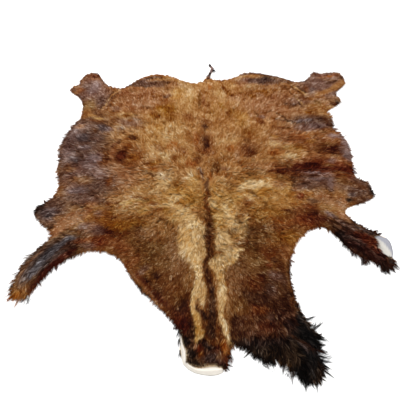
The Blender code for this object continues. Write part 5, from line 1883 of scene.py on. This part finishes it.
@dataclass
class SkinSide:
    """The tanned skin under the coat, flesh side down.

    Attributes:
        thickness: The skin's thickness.
        waves: How far it rises off the floor between its resting places.
        longest: About how long an edge of its mesh may be.
    """

    thickness: float = 0.0025
    waves: float = 0.0015
    longest: float = 0.035

    def build(self, node: bpy.types.Object) -> bpy.types.Object:
        """Makes the skin from a copy of the solid's underside.

        Args:
            node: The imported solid.

        Returns:
            The piece.
        """
        sheet = without_lock_tips(node, 0.004)
        flat = {f for f in sheet.faces if max(v.co.z for v in f.verts) < 1e-4}
        rest = [f for f in sheet.faces if f not in flat]
        bmesh.ops.delete(sheet, geom=rest, context="FACES")
        for _ in range(4):
            long = [edge for edge in sheet.edges if edge.calc_length() > self.longest]
            bmesh.ops.subdivide_edges(sheet, edges=long, cuts=1)
            bmesh.ops.triangulate(sheet, faces=sheet.faces[:])
            inner = [edge for edge in sheet.edges if not edge.is_boundary]
            bmesh.ops.beautify_fill(sheet, faces=sheet.faces[:], edges=inner)
        for vert in sheet.verts:
            swell = cloud(np.array([vert.co[:2]]), 0.16, 61, 2)[0]
            vert.co.z = self.waves * (1 + swell) / 2
        lower = sheet.faces[:]
        grown = bmesh.ops.extrude_face_region(sheet, geom=lower, use_keep_orig=True)
        upper = [part for part in grown["geom"] if isinstance(part, bmesh.types.BMVert)]
        bmesh.ops.translate(sheet, verts=upper, vec=(0, 0, self.thickness))
        bmesh.ops.recalc_face_normals(sheet, faces=sheet.faces[:])
        data = bpy.data.meshes.new("flesh_side")
        sheet.to_mesh(data)
        sheet.free()
        data.shade_smooth()
        finish = SkinFinish("tanned_flesh_side", srgb(226, 208, 178), srgb(196, 168, 132), 0.85, 0.0012)
        return shown("flesh_side", data, finish.material())


@dataclass
class BareEdge:
    """A turned-up edge of skin that the hair has left.

    Attributes:
        name: The piece's name.
        stations: The edge, from one end to the other.
        near: Its pale colour on the hair's side of the ridge.
        far: Its colour on the lip's side, darker as a painted shade on the face beyond the ridge.
        columns: How many pieces its width is made of.
        thickness: The skin's thickness.
        between: How many steps lead from one station to the next.
    """

    name: str
    stations: tuple[SkinStation, ...]
    near: tuple[float, float, float]
    far: tuple[float, float, float]
    columns: int = 10
    thickness: float = 0.0018
    between: int = 3

    def _finer(self) -> Array:
        """The stations with more between them, as rows of their values."""
        rows = np.array(
            [(s.coat_x, s.coat_y, s.lip_x, s.lip_y, s.ridge, s.rise * 1e-3) for s in self.stations]
        )
        place = np.linspace(0, len(rows) - 1, (len(rows) - 1) * self.between + 1)
        smooth = np.pad(rows, ((1, 1), (0, 0)), mode="edge")
        smooth = (smooth[:-2] + 6 * smooth[1:-1] + smooth[2:]) / 8
        return np.stack([np.interp(place, np.arange(len(rows)), column) for column in smooth.T], axis=1)

    def _section(self, row: Array) -> list[Vector]:
        """The skin's line across the edge at one station, from the hair to under the lip."""
        coat, lip = row[0:2] - DRAWING_MIDDLE, row[2:4] - DRAWING_MIDDLE
        ridge, rise = row[4], row[5]
        line = []
        for step in range(self.columns + 1):
            share = step / self.columns
            side = share / ridge if share < ridge else (1 - share) / (1 - ridge)
            height = 0.0022 + rise * float(eased(np.array(side)) * 0.5 + 0.5 * side)
            line.append(Vector((*(coat + (lip - coat) * share), height)))
        back = (coat - lip) / max(float(np.hypot(*(coat - lip))), 1e-6)
        line.append(Vector((*(lip + back * 0.002), 0.0012)))
        return line

    def build(self) -> bpy.types.Object:
        """Makes the edge.

        Returns:
            The piece.
        """
        rows = self._finer()
        shape = bmesh.new()
        first = [shape.verts.new(place) for place in self._section(rows[0])]
        line = [shape.edges.new(pair) for pair in zip(first[:-1], first[1:])]
        verts = first
        for row in rows[1:]:
            grown = bmesh.ops.extrude_edge_only(shape, edges=line)["geom"]
            fresh = [part for part in grown if isinstance(part, bmesh.types.BMVert)]
            edges = [part for part in grown if isinstance(part, bmesh.types.BMEdge)]
            line = [edge for edge in edges if all(vert in fresh for vert in edge.verts)]
            nearest = {min(range(len(verts)), key=lambda k: (verts[k].co - v.co).length): v for v in fresh}
            verts = [nearest[k] for k in range(len(verts))]
            for vert, place in zip(verts, self._section(row)):
                vert.co = place
        bmesh.ops.recalc_face_normals(shape, faces=shape.faces[:])
        if sum(f.normal.z for f in shape.faces) < 0:
            bmesh.ops.reverse_faces(shape, faces=shape.faces[:])
        bmesh.ops.solidify(shape, geom=shape.faces[:], thickness=self.thickness)
        data = bpy.data.meshes.new(self.name)
        shape.to_mesh(data)
        shape.free()
        data.shade_smooth()
        plan = points_of(data)[:, :2] + DRAWING_MIDDLE
        give_colours(data, self._tints(plan, rows))
        return shown(self.name, data, BareSkinFinish(f"{self.name}_finish").material())

    def _tints(self, plan: Array, rows: Array) -> Array:
        """The colour at each place, by its side of the ridge, with painted shade on the lip's side."""
        coat, lip = rows[:, 0:2], rows[:, 2:4]
        ridge = coat + (lip - coat) * rows[:, 4:5]
        index = np.argmin(((plan[:, None] - ridge[None]) ** 2).sum(axis=2), axis=1)
        outwards = lip[index] - coat[index]
        side = ((plan - ridge[index]) * outwards).sum(axis=1) / (outwards**2).sum(axis=1)
        share = eased(0.5 + side / 0.12)[:, None]
        return np.array(self.near) + (np.array(self.far) - np.array(self.near)) * share


@dataclass
class Tail:
    """The thin dried tail, which lies out on the floor.

    Attributes:
        sides: How many sides its section has.
    """

    sides: int = 10

    def build(self) -> bpy.types.Object:
        """Makes the tail.

        Returns:
            The piece.
        """
        shape = bmesh.new()
        places = [Vector((s.x - DRAWING_MIDDLE[0], s.y - DRAWING_MIDDLE[1], s.radius)) for s in DRIED_TAIL]
        before: list[bmesh.types.BMEdge] = []
        for index, (station, place) in enumerate(zip(DRIED_TAIL, places)):
            last = len(places) - 1
            heading = places[min(index + 1, last)] - places[max(index - 1, 0)]
            turn = Vector((heading.x, heading.y, 0)).to_track_quat("Z", "Y").to_matrix().to_4x4()
            turn.translation = place
            closed = index in (0, last)
            ring = bmesh.ops.create_circle(
                shape, cap_ends=closed, segments=self.sides, radius=station.radius, matrix=turn
            )["verts"]
            edges = list({e for v in ring for e in v.link_edges if all(w in ring for w in e.verts)})
            rim = [e for e in edges if len(e.link_faces) <= 1]
            if before:
                bmesh.ops.bridge_loops(shape, edges=before + rim)
            before = rim
        bmesh.ops.subdivide_edges(shape, edges=shape.edges[:], cuts=1, use_grid_fill=True, smooth=1.0)
        bmesh.ops.recalc_face_normals(shape, faces=shape.faces[:])
        data = bpy.data.meshes.new("dried_tail")
        shape.to_mesh(data)
        shape.free()
        data.shade_smooth()
        points = points_of(data)
        points[:, 2] = np.maximum(points[:, 2], 0.0006)
        place_points(data, points)
        along = np.array([place.y for place in places])
        tints = np.array([station.shade.value for station in DRIED_TAIL])
        colours = np.stack([np.interp(points[:, 1], along, tint) for tint in tints.T], axis=1)
        give_colours(data, colours)
        return shown("dried_tail", data, UndercoatFinish("dried_tail_skin").material())


@dataclass
class LooseHair:
    """The fine hairs round the rim, and the long ones that stand out here and there.

    Attributes:
        relief: The solid's fields.
        grooming: How the hair lies.
        colours: The coat's colours.
        pitch: The mean distance between two wisps along the rim.
        per_wisp: How many hairs a wisp has.
        splay: How far the wisps lean outwards, as a share of the combing.
        width: A hair's width at its root.
        steps: The pieces that a hair's line is made of.
        shortest: The shortest wisp, as a share of the coat's hair there.
        longer_by: What the longest wisp has beyond that, as a share of the coat's hair there.
        root_spread: How far the roots of a wisp's hairs stand from its middle.
        tip_spread: How far their tips lie from the wisp's tip.
    """

    relief: Relief
    grooming: Grooming
    colours: ColourPlan
    pitch: float = 0.0105
    per_wisp: int = 13
    splay: float = 1.2
    width: float = 0.0015
    steps: int = 4
    shortest: float = 0.35
    longer_by: float = 1.15
    root_spread: float = 0.0045
    tip_spread: float = 0.0018

    def rim(self) -> bpy.types.Object:
        """Makes the hairs round the rim.

        Returns:
            The piece.
        """
        rng = np.random.default_rng(SEED + 100)
        rim = self.relief.rim
        ahead = np.roll(rim, -1, axis=0)
        lengths = np.hypot(*(ahead - rim).T)
        total = np.concatenate([[0.0], np.cumsum(lengths)])
        wisps = int(total[-1] / self.pitch)
        place = (np.arange(wisps) + 0.9 * rng.random(wisps)) * total[-1] / wisps
        index = np.clip(np.searchsorted(total, place) - 1, 0, len(rim) - 1)
        share = ((place - total[index]) / np.maximum(lengths[index], 1e-9))[:, None]
        edge = rim[index] + (ahead[index] - rim[index]) * share
        out = self.relief.outward(edge)
        out /= np.maximum(np.hypot(*out.T), 1e-6)[:, None]
        middles = edge - out * (0.003 + 0.012 * rng.random(wisps))[:, None]
        bare = np.zeros(wisps, bool)
        for ring in BARE_PLACES:
            bare |= within(middles + DRAWING_MIDDLE, ring)
        middles, out = middles[~bare], out[~bare]
        combed = self.grooming.angle(middles)
        along = np.stack([np.cos(combed), np.sin(combed)], axis=1) + self.splay * out
        heading = np.arctan2(along[:, 1], along[:, 0]) + 0.35 * rng.standard_normal(len(middles))
        grown = self.shortest + self.longer_by * rng.random(len(middles)) ** 1.7
        length = self.grooming.lay(middles)["length"] * grown
        tips = middles + np.stack([np.cos(heading), np.sin(heading)], axis=1) * length[:, None]
        bend = 0.5 * rng.standard_normal(len(middles))

        own = np.repeat(np.arange(len(middles)), self.per_wisp)
        roots = middles[own] + self.root_spread * rng.standard_normal((len(own), 2))
        reach = tips[own] + self.tip_spread * rng.standard_normal((len(own), 2)) - roots
        start = np.arctan2(reach[:, 1], reach[:, 0]) - bend[own] / 2
        length = np.hypot(*reach.T) * (0.65 + 0.40 * rng.random(len(own)))
        depth = 1.12 + 0.12 * rng.standard_normal(len(own))
        shade = as_hair(self.colours.at(roots) ** depth[:, None])
        return self._made("rim_hair", roots, start, length, bend[own], shade, rng)

    def tufts(self) -> bpy.types.Object:
        """Makes the long hairs that stand out.

        Returns:
            The piece.
        """
        rng = np.random.default_rng(SEED + 200)
        parts = []
        for tuft in TUFTS:
            n = tuft.count
            middle = np.array([tuft.x, tuft.y]) - DRAWING_MIDDLE
            roots = middle + tuft.spread * 0.6 * rng.standard_normal((n, 2))
            start = np.radians(tuft.angle + 0.6 * tuft.fan * rng.standard_normal(n))
            length = tuft.length * 1e-3 * (0.6 + 0.5 * rng.random(n))
            bend = 0.35 * rng.standard_normal(n)
            shade = np.array(tuft.shade.value) ** (1 + 0.1 * rng.standard_normal(n))[:, None]
            parts.append((roots, start, length, bend, as_hair(shade)))
        joined = [np.concatenate(column) for column in zip(*parts)]
        return self._made("standing_hair", *joined, rng)

    def _made(
        self,
        name: str,
        roots: Array,
        start: Array,
        length: Array,
        bend: Array,
        shade: Array,
        rng: np.random.Generator,
    ) -> bpy.types.Object:
        """Makes one piece of hairs.

        Args:
            name: The piece's name.
            roots: Where they stand.
            start: Their first directions, in radians.
            length: Their lengths.
            bend: How far each turns from root to tip, in radians.
            shade: Their colours.
            rng: Their chances.

        Returns:
            The piece.
        """
        share = np.linspace(0, 1, self.steps + 1)
        heading = start[:, None] + bend[:, None] * share[None, 1:]
        moves = np.stack([np.cos(heading), np.sin(heading)], axis=2) * (length / self.steps)[:, None, None]
        still = np.zeros((len(roots), 1, 2))
        plan = np.concatenate([still, np.cumsum(moves, axis=1)], axis=1) + roots[:, None]
        surface = self.relief.top(plan.reshape(-1, 2)).reshape(len(roots), -1)
        arch = (0.003 + 0.006 * rng.random((len(roots), 1))) * np.sin(share * 2.6)[None]
        height = surface * (0.45 + 0.5 * share[None]) + arch + 0.0015
        paths = np.concatenate([plan, height[..., None]], axis=2)
        hairs = Strands(
            paths=paths,
            widths=self.width * (0.7 + 0.6 * rng.random(len(roots))),
            rolls=0.3 * rng.standard_normal(len(roots)),
            # Painted shade and light: roots darker, as deep in the coat, and tips paler, as lit on top.
            roots=shade * 0.85,
            tips=shade * 1.1,
        )
        LOG.info("%s: %d hairs", name, len(roots))
        return shown(name, hairs.mesh(name), HairFinish(f"{name}_finish").material())


class Studio:
    """The floor, the lights and the camera."""

    CAMERA = (-0.034, -1.62, 1.90)
    PITCH = 38.0
    LENS = 38.16

    def build(self) -> None:
        """Sets the scene around the hide."""
        self._floor()
        self._light("key_panel", (-1.6, 1.6, 3.2), 3.0, 165.0)
        self._light("fill_panel", (2.4, -1.2, 3.0), 3.0, 80.0)
        self._camera()
        world = bpy.data.worlds.new("studio_air")
        world.use_nodes = True
        ground = world.node_tree.nodes["Background"]
        ground.inputs["Color"].default_value = (1.0, 1.0, 1.0, 1.0)
        ground.inputs["Strength"].default_value = 0.90
        bpy.context.scene.world = world
        bpy.context.scene.view_settings.view_transform = "Standard"

    @staticmethod
    def _floor() -> None:
        """The plain floor, just under the hide."""
        shape = bmesh.new()
        bmesh.ops.create_grid(shape, x_segments=1, y_segments=1, size=14.0)
        bmesh.ops.translate(shape, verts=shape.verts[:], vec=(0, 0, -0.0005))
        data = bpy.data.meshes.new("floor")
        shape.to_mesh(data)
        shape.free()
        floor = bpy.data.objects.new("floor", data)
        data.materials.append(FloorFinish().material())
        bpy.context.scene.collection.objects.link(floor)

    @staticmethod
    def _light(name: str, place: tuple[float, float, float], size: float, power: float) -> None:
        """A square panel of light that faces the hide.

        Args:
            name: Its name.
            place: Where it hangs.
            size: Its side.
            power: Its power in watts.
        """
        lamp = bpy.data.lights.new(name, "AREA")
        lamp.size = size
        lamp.energy = power
        panel = bpy.data.objects.new(name, lamp)
        panel.location = place
        panel.rotation_euler = (-Vector(place)).to_track_quat("-Z", "Y").to_euler()
        bpy.context.scene.collection.objects.link(panel)

    def _camera(self) -> None:
        """The camera at the photograph's height and pitch."""
        lens = bpy.data.cameras.new("camera")
        lens.lens = self.LENS
        lens.sensor_width = 36.0
        camera = bpy.data.objects.new("camera", lens)
        x, y, z = self.CAMERA
        camera.location = (x - DRAWING_MIDDLE[0], y - DRAWING_MIDDLE[1], z)
        camera.rotation_euler = (math.radians(self.PITCH), 0.0, 0.0)
        bpy.context.scene.collection.objects.link(camera)
        bpy.context.scene.camera = camera


def main() -> None:
    """Builds every piece in order and reports it."""
    logging.basicConfig(level=logging.INFO, format="%(name)s: %(message)s")
    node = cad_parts[NODE]
    relief = Relief(node)
    LOG.info("rim of %d places read", len(relief.rim))
    details = RUMP_PATCHES + BACK_PATCHES + HUMP_PATCHES + LEG_PATCHES + STREAKS + BANDS
    colours = ColourPlan(LARGE_PATCHES, details)
    underwool = Undercoat().build(node, relief, colours)
    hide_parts(NODE)
    LOG.info("underwool: %d faces", len(underwool.data.polygons))
    coat = Coat(relief, Grooming(), colours)
    hair = [coat.build(section) for section in Section]
    skin = SkinSide().build(node)
    LOG.info("flesh_side: %d faces", len(skin.data.polygons))
    loose = LooseHair(relief, coat.grooming, colours)
    tail = Tail().build()
    # Each bare edge is pale on the hair's side and darker on the lip's side, a painted shade on the face
    # beyond its ridge.
    neck = BareEdge("neck_edge", NECK_EDGE, srgb(226, 218, 206), srgb(206, 200, 190)).build()
    foreleg = BareEdge("foreleg_edge", FORELEG_EDGE, srgb(184, 181, 174), srgb(136, 136, 144)).build()
    others = [underwool, *hair, loose.rim(), loose.tufts(), tail, neck, foreleg]
    Studio().build()


if __name__ == "__main__":
    main()
